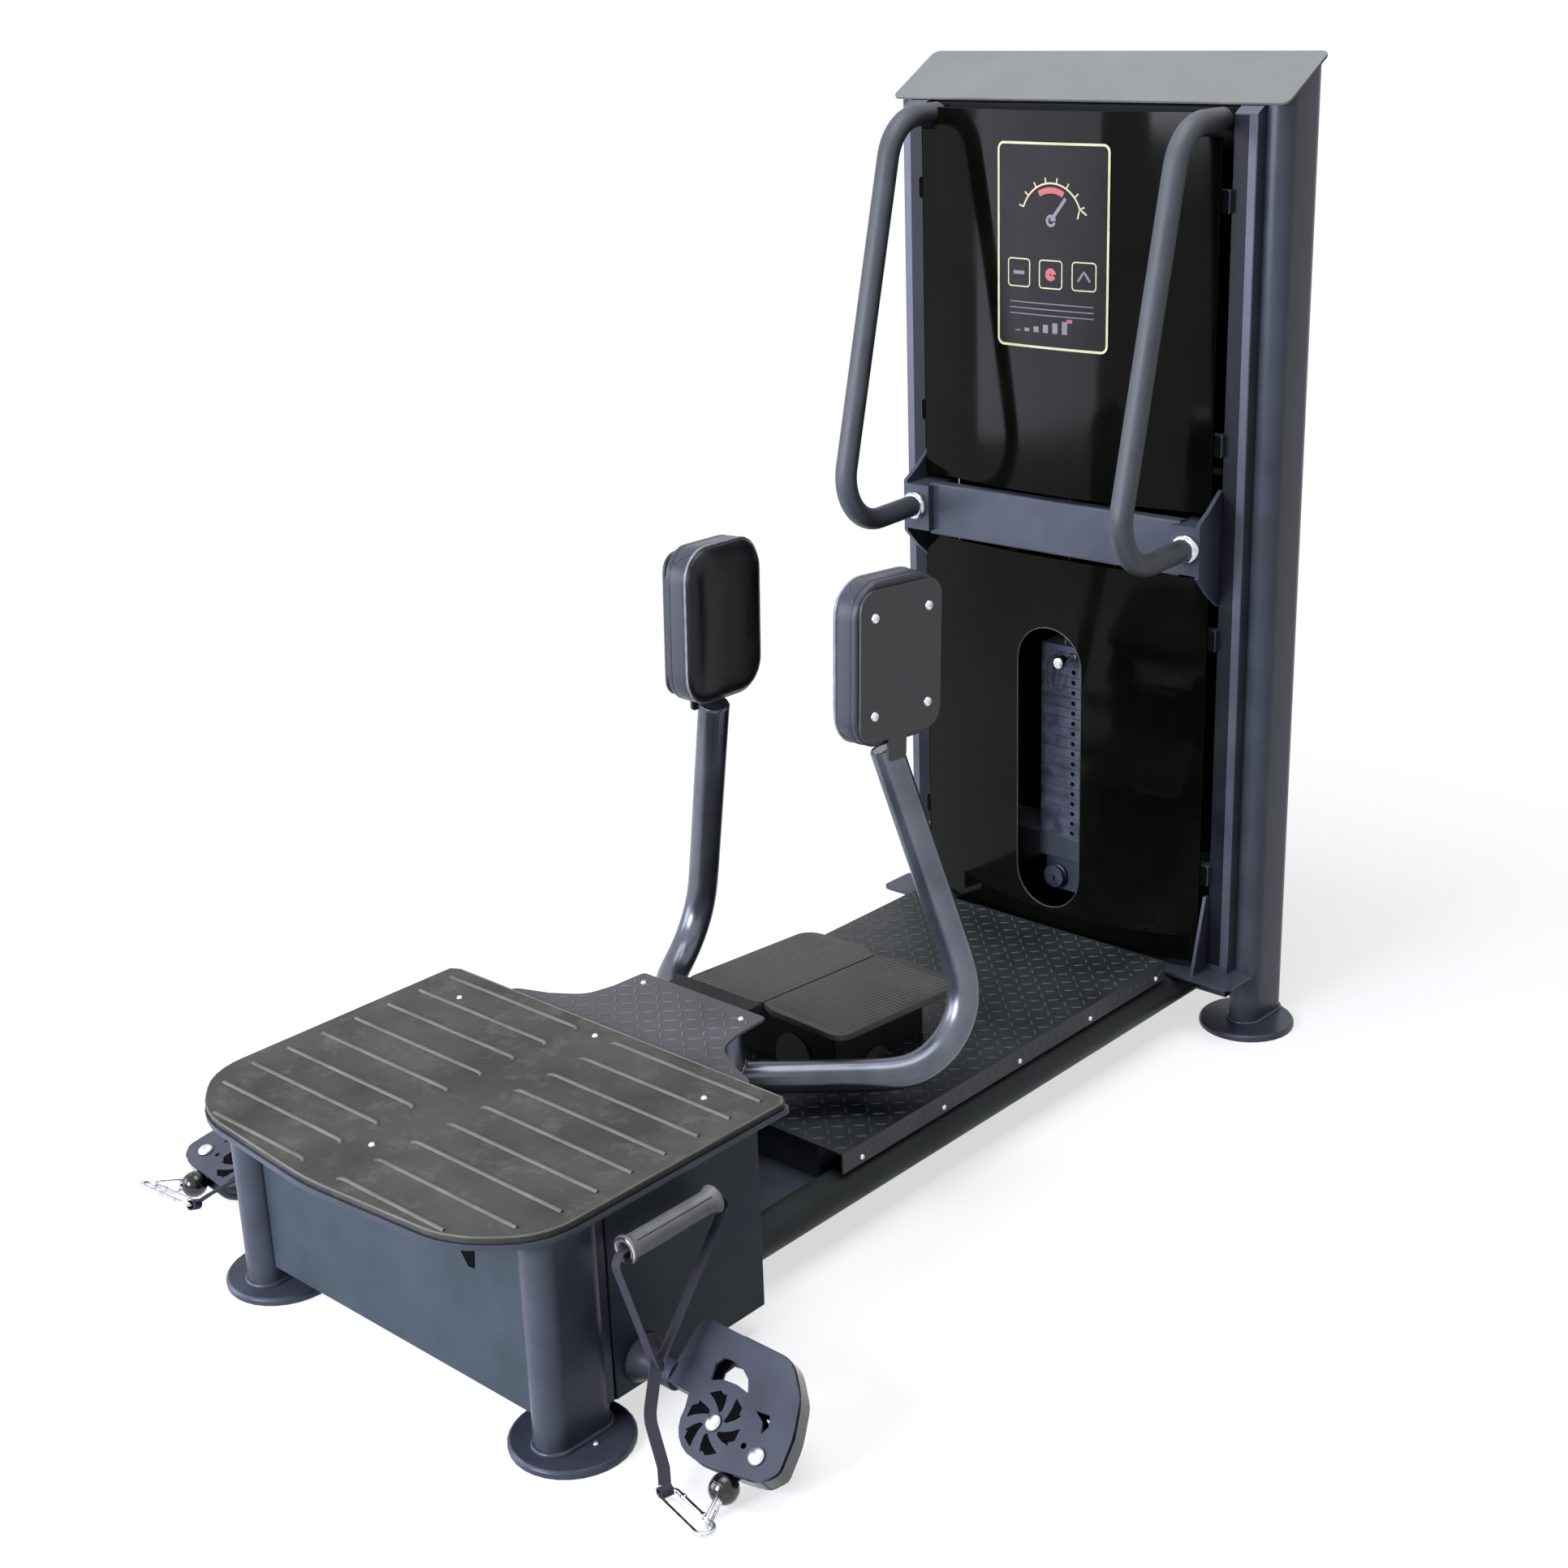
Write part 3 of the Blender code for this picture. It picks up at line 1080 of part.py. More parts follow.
strap_loop = sweep(round_corners(loop_points, [0, 0.010, 0.006, 0.006, 0.010, 0], step=math.radians(25)),
                   web_section, (1, 0, 0))
sleeve = turned([(0.0083, 0.006), (0.0083, -0.006), (0.0066, -0.006), (0.0066, 0.006)], 12)
placed(sleeve, along(hook_side, hook_far))
strap_up = (strap_join - hook_far).normalized()
tail_points = [hook_far + strap_up * 0.0074, hook_far + strap_up * 0.030, strap_join + Vector((0.022, -0.039, -0.050)),
               strap_join + Vector((0.0, 0.002, 0.010))]
strap_tail = sweep(round_corners(tail_points, [0, 0.02, 0.06, 0], step=math.radians(20)), web_section, hook_side)
hand_strap = united(strap_loop, strap_tail, sleeve)

grip_profile = [(0.0205, GRIP_HALF_LENGTH), (0.0205, 0.080), (0.0165, 0.070), (0.0165, -0.070), (0.0205, -0.080),
                (0.0205, -GRIP_HALF_LENGTH), (0.0115, -GRIP_HALF_LENGTH), (GRIP_BORE, -0.080), (GRIP_BORE, 0.080),
                (0.0115, GRIP_HALF_LENGTH)]
strap_grip = placed(turned(grip_profile, 18), along((0, 1, 0), (STRAP_GRIP_X, STRAP_GRIP_Y, STRAP_TOP_Z)))

swing_to_left = left_frame @ right_frame.inverted()
for tag, turn, flip in (("_right", Matrix.Identity(4), False), ("_left", swing_to_left, True)):
    for name, mesh, look, at in (("cable_end", cable_end, BALL_PLASTIC, ball_at),
                                 ("carabiner", carabiner, CHROME, hook_at),
                                 ("hand_strap", hand_strap, WEBBING, hook_far),
                                 ("strap_grip", strap_grip, GRIP_RUBBER, hook_far)):
        copy = placed(mesh.copy(), turn)
        at = turn @ at
        if flip:
            copy = mirrored(copy)
            at = Vector((-at.x, at.y, at.z))
        piece(name + tag, copy, look, True, tuple(at))
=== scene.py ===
# %% [markdown]
# # A standing hip and glute machine, dressed for a product picture
# The machine has a weight tower with grab bars, a long deck with swinging padded arms, a raised
# standing platform and two swivel pulleys with hand straps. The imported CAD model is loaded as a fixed
# frame in metres, and every cell below adds a finish or a finer piece in that same frame.

# %% Load the frame
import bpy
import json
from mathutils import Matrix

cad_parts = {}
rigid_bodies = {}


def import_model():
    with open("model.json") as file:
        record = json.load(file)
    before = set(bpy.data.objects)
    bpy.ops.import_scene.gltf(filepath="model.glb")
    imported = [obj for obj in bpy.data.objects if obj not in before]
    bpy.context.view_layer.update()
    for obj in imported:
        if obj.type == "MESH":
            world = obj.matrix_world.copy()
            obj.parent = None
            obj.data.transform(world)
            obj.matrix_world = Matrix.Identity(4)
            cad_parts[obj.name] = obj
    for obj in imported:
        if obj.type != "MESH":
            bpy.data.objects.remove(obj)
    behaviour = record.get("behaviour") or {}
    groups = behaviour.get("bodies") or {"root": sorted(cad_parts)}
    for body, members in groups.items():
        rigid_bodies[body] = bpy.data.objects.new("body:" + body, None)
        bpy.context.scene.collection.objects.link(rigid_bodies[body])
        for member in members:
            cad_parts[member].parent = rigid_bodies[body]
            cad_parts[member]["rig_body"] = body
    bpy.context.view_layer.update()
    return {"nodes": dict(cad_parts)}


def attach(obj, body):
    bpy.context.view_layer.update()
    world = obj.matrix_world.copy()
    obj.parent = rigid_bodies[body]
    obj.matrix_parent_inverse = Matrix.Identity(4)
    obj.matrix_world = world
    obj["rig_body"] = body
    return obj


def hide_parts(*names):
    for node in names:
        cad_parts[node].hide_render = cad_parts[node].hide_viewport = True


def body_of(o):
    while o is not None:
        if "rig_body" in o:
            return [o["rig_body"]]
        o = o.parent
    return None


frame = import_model()

import json
import math

import bmesh
import bpy
from mathutils import Matrix, Vector
from mathutils.bvhtree import BVHTree

nodes = frame["nodes"]
MM = 0.001

# %% [markdown]
# ## Camera
# A picture of a tall machine is taken from a little above eye height, so that the treads of the
# platform show. The place and the axes below were solved from the straight edges of the machine, and
# the lens is a plain 52 mm on a square 36 mm frame, with no shift and no blur.

# %% Camera
camera_data = bpy.data.cameras.new("camera")
camera_data.lens = 51.72
camera_data.sensor_width = 36.0
camera_data.clip_end = 60.0
camera = bpy.data.objects.new("camera", camera_data)
bpy.context.scene.collection.objects.link(camera)
right = Vector((0.74260, 0.66889, -0.03420))
up = Vector((-0.20673, 0.27746, 0.93824))
forward = Vector((-0.63706, 0.68966, -0.34430))
camera_turn = Matrix((right, up, -forward)).transposed().to_4x4()
camera.matrix_world = Matrix.Translation((2.2992, -2.4589, 1.8756)) @ camera_turn
bpy.context.scene.camera = camera
bpy.context.scene.view_settings.view_transform = "Standard"
print("camera at", [round(c, 3) for c in camera.location])

# %% [markdown]
# ## Colours and nodes
# A finish is written down as the hex code that an eye would pick from a swatch, and the shader wants
# linear light, so one function does the change. One more function adds a node and feeds its sockets
# with other nodes or plain values, which keeps each finish short enough to read.


# %% Two small tools for finishes
def linear(code):
    """The linear colour of a six-digit sRGB code."""
    parts = [int(code[i : i + 2], 16) / 255 for i in (0, 2, 4)]
    return tuple(c / 12.92 if c <= 0.04045 else ((c + 0.055) / 1.055) ** 2.4 for c in parts) + (1.0,)


def add(tree, kind, sockets=None, **settings):
    """Adds a node. Settings are its fields, and a node, an output or a value feeds each socket."""
    made = tree.nodes.new(kind if "Node" in kind else "ShaderNode" + kind)
    for key, value in settings.items():
        setattr(made, key, value)
    for key, source in (sockets or {}).items():
        if isinstance(source, bpy.types.Node):
            source = source.outputs[0]
        if isinstance(source, bpy.types.NodeSocket):
            tree.links.new(source, made.inputs[key])
        else:
            made.inputs[key].default_value = source
    return made


# %% [markdown]
# ## Floor, backdrop and lamps
# The machine stands in a plain pale studio. The world and the floor ask the Light Path node which rays
# come from the camera, a mirror or a clear surface, and show those a plain white, so that chrome and
# acrylic reflect the same background that the picture has. All other rays see a soft grey room. Close
# to the machine the floor keeps its own shading, so the soft shadow stays.

# %% World
WHITE = (1, 1, 1, 1)
world = bpy.data.worlds.new("studio")
bpy.context.scene.world = world
world.use_nodes = True
tree = world.node_tree
tree.nodes.clear()


def seen_ray(tree):
    """1 for rays that show the background: from the camera, a mirror or a clear surface."""
    path = add(tree, "LightPath").outputs
    direct = add(tree, "Math", {0: path["Is Camera Ray"], 1: path["Is Transmission Ray"]},
                 operation="MAXIMUM")
    return add(tree, "Math", {0: direct, 1: path["Is Glossy Ray"]}, operation="MAXIMUM")


room = add(tree, "Background", {"Color": linear("e9ecee"), "Strength": 0.08})
white = add(tree, "Background", {"Color": WHITE, "Strength": 1.0})
both = add(tree, "MixShader", {0: seen_ray(tree), 1: room, 2: white})
add(tree, "OutputWorld", {"Surface": both})

# %% Floor
FADE_FROM, FADE_TO = 1.3, 2.4  # metres from the machine's middle, where the floor turns to white
floor_finish = bpy.data.materials.new("pale_studio_floor")
floor_finish.use_nodes = True
tree = floor_finish.node_tree
tree.nodes.clear()
matte = add(tree, "BsdfDiffuse", {"Color": linear("646668")})
lifted = add(tree, "BsdfDiffuse", {"Color": linear("cfd0d2")})
glow = add(tree, "Emission", {"Color": WHITE, "Strength": 0.66})
near = add(tree, "AddShader", {0: lifted, 1: glow})
far = add(tree, "Emission", {"Color": WHITE, "Strength": 1.0})
away = add(tree, "VectorMath", {0: add(tree, "TexCoord").outputs["Object"]}, operation="LENGTH")
fade = add(tree, "MapRange", {"Value": away.outputs["Value"], "From Min": FADE_FROM,
                              "From Max": FADE_TO}, interpolation_type="SMOOTHSTEP")
bright = add(tree, "MixShader", {0: fade, 1: near, 2: far})
pick = add(tree, "MixShader", {0: seen_ray(tree), 1: matte, 2: bright})
add(tree, "OutputMaterial", {"Surface": pick})
bpy.ops.mesh.primitive_plane_add(size=40, location=(0, 0, -0.0004))
floor = bpy.context.object
floor.name = "studio_floor"
floor.data.materials.append(floor_finish)

# %% Lamps
for name, at, towards, size, watts, colour in (
        ("lamp_front", (-0.5, -5.0, 2.2), (0, 0, 0.7), 2.2, 265, "f1f3ff"),
        ("lamp_left", (-3.2, -3.2, 1.3), (0, 0.2, 0.9), 2.6, 110, "eeeeff"),
        ("lamp_top", (0.2, 0.0, 4.2), (0, 0, 0.3), 2.6, 85, "fbfcff")):
    data = bpy.data.lights.new(name, "AREA")
    data.energy = watts
    data.size = size
    data.color = linear(colour)[:3]
    lamp = bpy.data.objects.new(name, data)
    lamp.location = at
    lamp.rotation_euler = (Vector(towards) - Vector(at)).to_track_quat("-Z", "Y").to_euler()
    bpy.context.scene.collection.objects.link(lamp)
print("three lamps and a soft room")

# %% [markdown]
# ## Powder coat
# Most of the steel is powder coated: a polyester powder is sprayed on dry and baked, which leaves a
# satin skin with a very fine orange peel. A slightly metallic Principled shader gives the lavender
# sheen on curves. Two noises do the rest: a large soft one moves the colour and the roughness a
# little, as handled paint does, and a fine one bumps the skin.


# %% Finish tools
def bare_finish(name, **sockets):
    """A material with a Principled shader, its constants on the shader's own sockets."""
    made = bpy.data.materials.new(name)
    made.use_nodes = True
    for key, value in sockets.items():
        made.node_tree.nodes["Principled BSDF"].inputs[key.replace("_", " ")].default_value = value
    return made


def feed(made, **sources):
    """Links outputs to the sockets of a finish's shader."""
    for key, source in sources.items():
        socket = made.node_tree.nodes["Principled BSDF"].inputs[key.replace("_", " ")]
        made.node_tree.links.new(source, socket)


def finish(name, dark, light, patch_mm, rough, skin=None, detail=4.0, **sockets):
    """Soft patches of patch_mm move the colour from dark to light and the roughness with it.

    skin is the width and the depth of fine bumps in millimetres, and their strength.
    """
    made = bare_finish(name, **sockets)
    tree = made.node_tree
    place = add(tree, "TexCoord").outputs["Object"]
    noise = add(tree, "TexNoise", {"Vector": place, "Scale": 1 / (patch_mm * MM), "Detail": detail})
    level = add(tree, "MapRange", {"Value": noise, "From Min": 0.32, "From Max": 0.68})
    tone = add(tree, "Mix", {"Factor": level, 6: linear(dark), 7: linear(light)}, data_type="RGBA")
    gloss = add(tree, "MapRange", {"Value": noise, "From Min": 0.3, "From Max": 0.7,
                                   "To Min": rough[0], "To Max": rough[1]})
    feed(made, Base_Color=tone.outputs[2], Roughness=gloss.outputs[0])
    if skin:
        width, depth, strength = skin
        fine = add(tree, "TexNoise", {"Vector": place, "Scale": 1 / (width * MM), "Detail": 2.0})
        bump = add(tree, "Bump", {"Height": fine, "Distance": depth * MM, "Strength": strength})
        feed(made, Normal=bump.outputs[0])
    return made


def cover(made, factor, colour):
    """Lays a colour over a finish, as far as the factor says."""
    tree = made.node_tree
    under = tree.nodes["Principled BSDF"].inputs["Base Color"].links[0].from_socket
    mix = add(tree, "Mix", {"Factor": factor, 6: under, 7: linear(colour)}, data_type="RGBA")
    feed(made, Base_Color=mix.outputs[2])


def powder_coat(name, dark, light, rough, metallic):
    # The orange peel of baked powder is about 1 mm across; it is drawn at 1.6 mm so that it shows.
    return finish(name, dark, light, 90, rough, (1.6, 0.12, 0.35), Metallic=metallic,
                  Specular_IOR_Level=0.18)


frame_coat = powder_coat("polyester_powder_coat_slate", "4b505c", "575d6a", (0.32, 0.42), 0.2)
# The rail's pale coat is a painted highlight along the rail's front edge, used on its face, edge bead
# and lid.
rail_painted_highlight_coat = powder_coat("polyester_powder_coat_rail_painted_highlight", "5c606e", "686c7a", (0.28, 0.36), 0.25)
foot_coat = powder_coat("polyester_powder_coat_foot", "484c5a", "585d6b", (0.28, 0.38), 0.3)
tube_coat = powder_coat("polyester_powder_coat_green_grey", "2c3232", "383e40", (0.42, 0.54), 0.05)
arm_coat = powder_coat("polyester_powder_coat_silver_slate", "5c606a", "747883", (0.20, 0.28), 0.7)
box_coat = powder_coat("polyester_powder_coat_blue_grey", "3a454f", "49545f", (0.46, 0.58), 0.0)
cap_coat = powder_coat("polyester_powder_coat_light_grey", "838584", "898b89", (0.48, 0.58), 0.05)
housing_coat = powder_coat("polyester_powder_coat_lavender_grey", "4a4d59", "575a68",
                           (0.36, 0.46), 0.15)
bracket_coat = powder_coat("black_powder_coat", "17181a", "222426", (0.45, 0.60), 0.30)
# The rail's dark coat is painted shade on the inner part of the rail's face.
rail_painted_shade_coat = powder_coat("polyester_powder_coat_rail_painted_shade", "1c1f27", "252832", (0.30, 0.42), 0.2)
print("ten powder coats")

# %% [markdown]
# ## Bright metal, iron and checker plate
# The bolts are zinc plated and the small hooks and collars are chromed: a mirror metal whose only
# detail is a fine haze of scratches. The weight plates are painted cast iron with a coarse skin. The
# deck is steel checker plate, painted dark, where shoes polish the tips of the raised lozenges.


# %% Metal finishes
def bright_metal(name, code, rough, patch_mm):
    # Handling marks on plated steel are a few millimetres long, so they come from a small noise.
    return finish(name, code, "e4e6ea", patch_mm, rough, (0.8, 0.02, 0.2), 6.0, Metallic=1.0)


chrome = bright_metal("chrome_plated_steel", "b9bcc4", (0.10, 0.24), 9)
zinc = bright_metal("zinc_plated_steel", "d8dade", (0.34, 0.46), 12)
# Sand casting leaves grit marks of about 2 mm under the paint.
iron = finish("painted_cast_iron", "444857", "62667a", 26, (0.42, 0.60), (2.2, 0.30, 0.5),
              Metallic=0.45)


def plate_paint(name, dark, light):
    # Worn paint on checker plate: patches of a hand's width and grit scuffs of about 3 mm.
    return finish(name, dark, light, 120, (0.40, 0.62), (3.0, 0.15, 0.5), 8.0, Metallic=0.35)


deck_paint = plate_paint("painted_checker_plate_deck", "262b2d", "33393c")
neck_paint = plate_paint("painted_checker_plate_neck", "4b4d51", "5c5e63")
deck_tips = plate_paint("polished_lozenge_deck", "40464a", "555c61")
neck_tips = plate_paint("polished_lozenge_neck", "5d5f64", "76787e")
print("metals ready")

# %% [markdown]
# ## Rubber, vinyl, foam, acrylic and webbing
# The platform mat is moulded rubber that has gathered dust, so its colour drifts from warm grey to
# near black. The pads are black upholstery vinyl with an embossed leather grain, which Voronoi cells
# draw well. Acrylic is a clear gloss over black. Webbing is a plain weave, so two wave textures cross
# on its own UV map, where one unit is one metre.

# %% Soft and clear finishes
# The mould's texture is a fine pebble of about 1.5 mm, under patches of dust a finger long.
mat_rubber = finish("moulded_rubber_mat", "24231f", "53534e", 130, (0.62, 0.86),
                    (1.5, 0.25, 0.6), 9.0)
tree = mat_rubber.node_tree
dust = add(tree, "TexNoise", {"Vector": add(tree, "TexCoord").outputs["Object"],
                              "Scale": 1 / (46 * MM), "Detail": 7.0, "Roughness": 0.7})
dusty = add(tree, "MapRange", {"Value": dust, "From Min": 0.52, "From Max": 0.72, "To Max": 0.6})
cover(mat_rubber, dusty, "70706b")
# The ribs are painted paler than the mat, a painted highlight on their raised tops; patches vary it
# from place to place.
rib_rubber_painted_highlight = finish("moulded_rubber_rib_painted_highlight", "55554f", "77776f", 60, (0.5, 0.7), (1.5, 0.15, 0.4), 8.0)
foot_rubber = finish("moulded_rubber_tread", "2b2b2b", "4a4a45", 80, (0.42, 0.66),
                     (1.5, 0.2, 0.6), 9.0)
# Foam cells are about 0.5 mm; they are drawn at 1.1 mm so that they show.
grip_rubber = finish("nitrile_grip_foam", "454950", "555962", 70, (0.42, 0.56), (1.1, 0.12, 0.5))
# The hand grip has a skin of fine pores about 1 mm apart.
handle_rubber = finish("moulded_rubber_hand_grip", "7a7a7e", "929296", 40, (0.34, 0.48),
                       (1.0, 0.10, 0.5))

vinyl = finish("upholstery_vinyl_black", "0b0d10", "14161b", 50, (0.26, 0.36),
               Specular_IOR_Level=0.25, Coat_Weight=0.08, Coat_Roughness=0.25)
tree = vinyl.node_tree
# The band between the seams is painted lighter and greyer, a painted sheen where it catches the lamps.
# An attribute of the cushion says where.
cover(vinyl, add(tree, "Attribute", attribute_name="band").outputs["Fac"], "454854")
# An embossed leather grain has cells of about 1.6 mm.
cells = add(tree, "TexVoronoi", {"Vector": add(tree, "TexCoord").outputs["Object"],
                                 "Scale": 1 / (1.6 * MM)}, feature="DISTANCE_TO_EDGE")
bump = add(tree, "Bump", {"Height": cells.outputs["Distance"], "Distance": 0.4 * MM,
                          "Strength": 0.35})
feed(vinyl, Normal=bump.outputs[0])
# The mitre seams are painted lighter than the black vinyl, a painted highlight along their ridges.
seam_vinyl_painted_highlight = finish("vinyl_seam_welt_painted_highlight", "2c2f38", "4a4d5a", 20, (0.28, 0.40), Coat_Weight=0.3,
                    Coat_Roughness=0.2)
# The piping is painted pale, a painted glint along its ridge; patches a finger wide vary it.
piping_painted_glint = finish("vinyl_piping_painted_glint", "8c8f9c", "a8abb8", 20, (0.22, 0.34), Coat_Weight=0.4,
                    Coat_Roughness=0.15)
backing = finish("moulded_abs_backing", "2d3135", "3b3f44", 60, (0.36, 0.48), (0.9, 0.08, 0.4))
# Fingerprints and wipe marks dull the gloss in patches as wide as a palm.
acrylic = finish("cast_acrylic_black", "070806", "0d0f0b", 160, (0.035, 0.11), detail=5.0,
                 Specular_IOR_Level=0.09)
gilt = finish("olive_edge_trim", "34372a", "4a4d32", 30, (0.28, 0.42), Metallic=0.3)
ball_nylon = finish("moulded_nylon_black", "0b0c0e", "15161a", 12, (0.10, 0.20), Coat_Weight=0.4,
                    Coat_Roughness=0.08)
matte_black = finish("matte_black_paint", "070708", "111113", 40, (0.85, 0.95),
                     Specular_IOR_Level=0.05)

# Webbing of this kind has a rib every 1.5 mm along it and yarns 1.1 mm apart across it.
RIB_GAP, YARN_GAP = 1.5 * MM, 1.1 * MM
WAVE = 3.14 / math.tau
webbing = bare_finish("woven_nylon_webbing", Roughness=0.75)
tree = webbing.node_tree
cloth_map = add(tree, "UVMap", uv_map="weave")
ribs = add(tree, "TexWave", {"Vector": cloth_map, "Scale": WAVE / RIB_GAP, "Distortion": 0.6},
           bands_direction="Y")
yarns = add(tree, "TexWave", {"Vector": cloth_map, "Scale": WAVE / YARN_GAP}, bands_direction="X")
crossing = add(tree, "Math", {0: ribs.outputs["Fac"], 1: yarns.outputs["Fac"]},
               operation="MULTIPLY")
yarn_tone = add(tree, "Mix", {"Factor": crossing, 6: linear("34343f"), 7: linear("747486")},
                data_type="RGBA")
bump = add(tree, "Bump", {"Height": crossing, "Distance": 0.4 * MM, "Strength": 0.8})
feed(webbing, Base_Color=yarn_tone.outputs[2], Normal=bump.outputs[0])
print("rubber, vinyl, acrylic and webbing ready")

# %% [markdown]
# ## Printed inks
# The placard is a polycarbonate sheet printed from behind: a warm near-black ground with cream line
# work and one warm accent. Ink has no relief, so each ink is a matte-gloss colour with slight
# unevenness and sits on the sheet as a very thin skin.

# %% Ink finishes
# Screen printing lays ink slightly unevenly over a few centimetres.
inks = {name: finish(name, dark, light, 60, (0.22, 0.34), Specular_IOR_Level=0.12)
        for name, dark, light in (
            ("screen_ink_ground", "131216", "1a191c"), ("screen_ink_cream", "d8d2a6", "ece6bf"),
            ("screen_ink_grey", "83838a", "9a9aa2"), ("screen_ink_coral", "c9656a", "d97c80"))}
print(len(inks), "inks")

# %% [markdown]
# ## Pieces
# A visible piece is a mesh with one finish. It rides on a body and may stand for a CAD node, which is
# hidden but stays in the scene. The machine is symmetric but for a few parts, so one more tool makes a
# right piece and its mirror image on the left.

# %% Piece tools
SIDES = (("right", Matrix.Identity(4)), ("left", Matrix.Diagonal((-1, 1, 1, 1))))


def rides_with(on, side=""):
    """The body named by on, or, where on is a node's name up to its side, that node's body."""
    return body_of(nodes[on + side])[0] if on.endswith("_") else on


def settle(obj, body, slot_name, *stands_for):
    """Tells the frame which body a piece rides on and hides the nodes it stands for. slot_name is not
    used.
    """
    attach(obj, body)
    if stands_for:
        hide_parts(*stands_for)
    return obj


def as_piece(name, mesh, coat, smooth_angle=35):
    """A mesh as an object at the origin, with smooth shading up to an angle."""
    mesh.materials.clear()
    mesh.materials.append(coat)
    mesh.shade_smooth()
    mesh.set_sharp_from_angle(angle=math.radians(smooth_angle))
    obj = bpy.data.objects.new(name, mesh)
    bpy.context.scene.collection.objects.link(obj)
    return obj


def moved(mesh, matrix):
    mesh.transform(matrix)
    if matrix.determinant() < 0:
        mesh.flip_normals()
    return mesh


def pair(name, mesh, coat, on, slot_name, *stands_for, angle=35, places=SIDES):
    """The same mesh at a place on each side. A name that ends in _ gets the side added."""
    made = []
    for side, place in places:
        obj = as_piece(name + side, moved(mesh.copy(), place), coat, angle)
        made.append(settle(obj, rides_with(on, side), slot_name, *[n + side for n in stands_for]))
    return made


def to_mesh(work, mesh=None, merge=0.0, outwards=True):
    """Ends a bmesh as a mesh, with points nearer than merge made one and faces turned outwards."""
    if merge:
        bmesh.ops.remove_doubles(work, verts=work.verts, dist=merge)
    if outwards:
        bmesh.ops.recalc_face_normals(work, faces=work.faces)
    mesh = mesh or bpy.data.meshes.new("shape")
    work.to_mesh(mesh)
    work.free()
    return mesh


# %% [markdown]
# ## Finishing a CAD piece
# A CAD solid has knife-sharp edges, and real steel doesn't: a cut edge is deburred and coated, and the
# light catches it. So a copy of each solid gets its flat faces joined, its edges rounded by a Bevel
# modifier and its shading weighted by face area, which keeps large faces flat. Each row below names a
# node, its finish, its slot, and the edge's width in millimetres with its number of facets.

# %% CAD pieces with soft edges
FLAT, SHARP = math.radians(0.6), math.radians(32)


def finished(node, coat, slot_name, edge_mm=0.8, segments=2):
    """A copy of a CAD node with joined faces and softened edges, which stands for the node."""
    mesh = nodes[node].data.copy()
    work = bmesh.new()
    work.from_mesh(mesh)
    bmesh.ops.remove_doubles(work, verts=work.verts, dist=0.01 * MM)
    bmesh.ops.dissolve_limit(work, angle_limit=FLAT, verts=work.verts, edges=work.edges)
    mesh = to_mesh(work, mesh, outwards=False)
    obj = as_piece(node + "_finished", mesh, coat, 180)
    soften = obj.modifiers.new("soften", "BEVEL")
    soften.width = edge_mm * MM
    soften.segments = segments
    soften.limit_method = "ANGLE"
    soften.angle_limit = SHARP
    obj.modifiers.new("weigh", "WEIGHTED_NORMAL").keep_sharp = True
    settle(obj, body_of(nodes[node])[0], slot_name, node)


for node, coat, *settings in (
        ("tower_foot_", foot_coat, "powder_coat", 1.0), ("front_foot_", foot_coat, "powder_coat", 1.0),
        ("post_", frame_coat, "powder_coat", 0.6), ("front_leg_", frame_coat, "powder_coat", 0.6),
        # The top beam takes the black coat as painted shade; its slot is the slate powder coat.
        ("base_tube_", tube_coat, "powder_coat"), ("top_beam", bracket_coat, "powder_coat"),
        ("stack_base", frame_coat, "powder_coat"), ("base_frame", frame_coat, "powder_coat"),
        ("cross_member", frame_coat, "powder_coat", 1.4, 3), ("top_cap", cap_coat, "cap_coat", 1.0),
        ("front_box", box_coat, "box_coat", 1.6, 3), ("panel_lower", acrylic, "black_acrylic", 0.5),
        ("panel_upper", acrylic, "black_acrylic", 0.5), ("rear_cover", acrylic, "black_acrylic", 0.6),
        ("guide_rod_", chrome, "chrome", 0.4), ("weight_plates", iron, "weight_iron", 0.5),
        ("stack_head", iron, "weight_iron"), ("lower_pulley", iron, "weight_iron", 0.5),
        ("selector_pin", chrome, "chrome", 0.3), ("deck", deck_paint, "diamond_plate"),
        ("neck_plate", neck_paint, "diamond_plate"), ("platform_plate", frame_coat, "powder_coat"),
        ("platform_mat", mat_rubber, "mat_rubber", 1.6, 3),
        ("foot_plate_", foot_rubber, "foot_rubber", 2.0, 3),
        ("foot_bracket", bracket_coat, "dark_steel"), ("pivot_frame", bracket_coat, "dark_steel", 1.0),
        ("pad_back_", backing, "back_sheet"), ("swivel_spigot_", housing_coat, "powder_coat"),
        ("pulley_housing_", housing_coat, "powder_coat", 0.5),
        ("pulley_sheave_", bracket_coat, "dark_steel", 0.5),
        ("placard", inks["screen_ink_ground"], "placard_face", 0.3)):
    for side in ("right", "left") if node.endswith("_") else ("",):
        finished(node + side, coat, *settings)
print("CAD pieces finished")

# %% [markdown]
# ## Shapes that follow a path
# The arms, the grab bars and the straps are all one section carried along a bent line. A tube bender
# makes exact arcs, so a helper rounds each corner of a polyline with a true arc in small steps, and
# another skins quads between rings that don't twist. It also writes a UV map in metres, which the
# webbing's weave follows.


# %% Path tools
def polar(radius, degrees, u=0.0, v=0.0):
    """The point at a distance and an angle from (u, v)."""
    return u + radius * math.cos(math.radians(degrees)), v + radius * math.sin(math.radians(degrees))


def rect(low_u, high_u, low_v, high_v):
    return [(low_u, low_v), (high_u, low_v), (high_u, high_v), (low_u, high_v)]


def evened(points, gap, closed=False):
    """The same line with more points on it, about a gap apart."""
    made = []
    for here, there in zip(points, points[1:] + (points[:1] if closed else [])):
        count = max(1, round((there - here).length / gap))
        made += [here.lerp(there, k / count) for k in range(count)]
    return made if closed else made + [points[-1]]


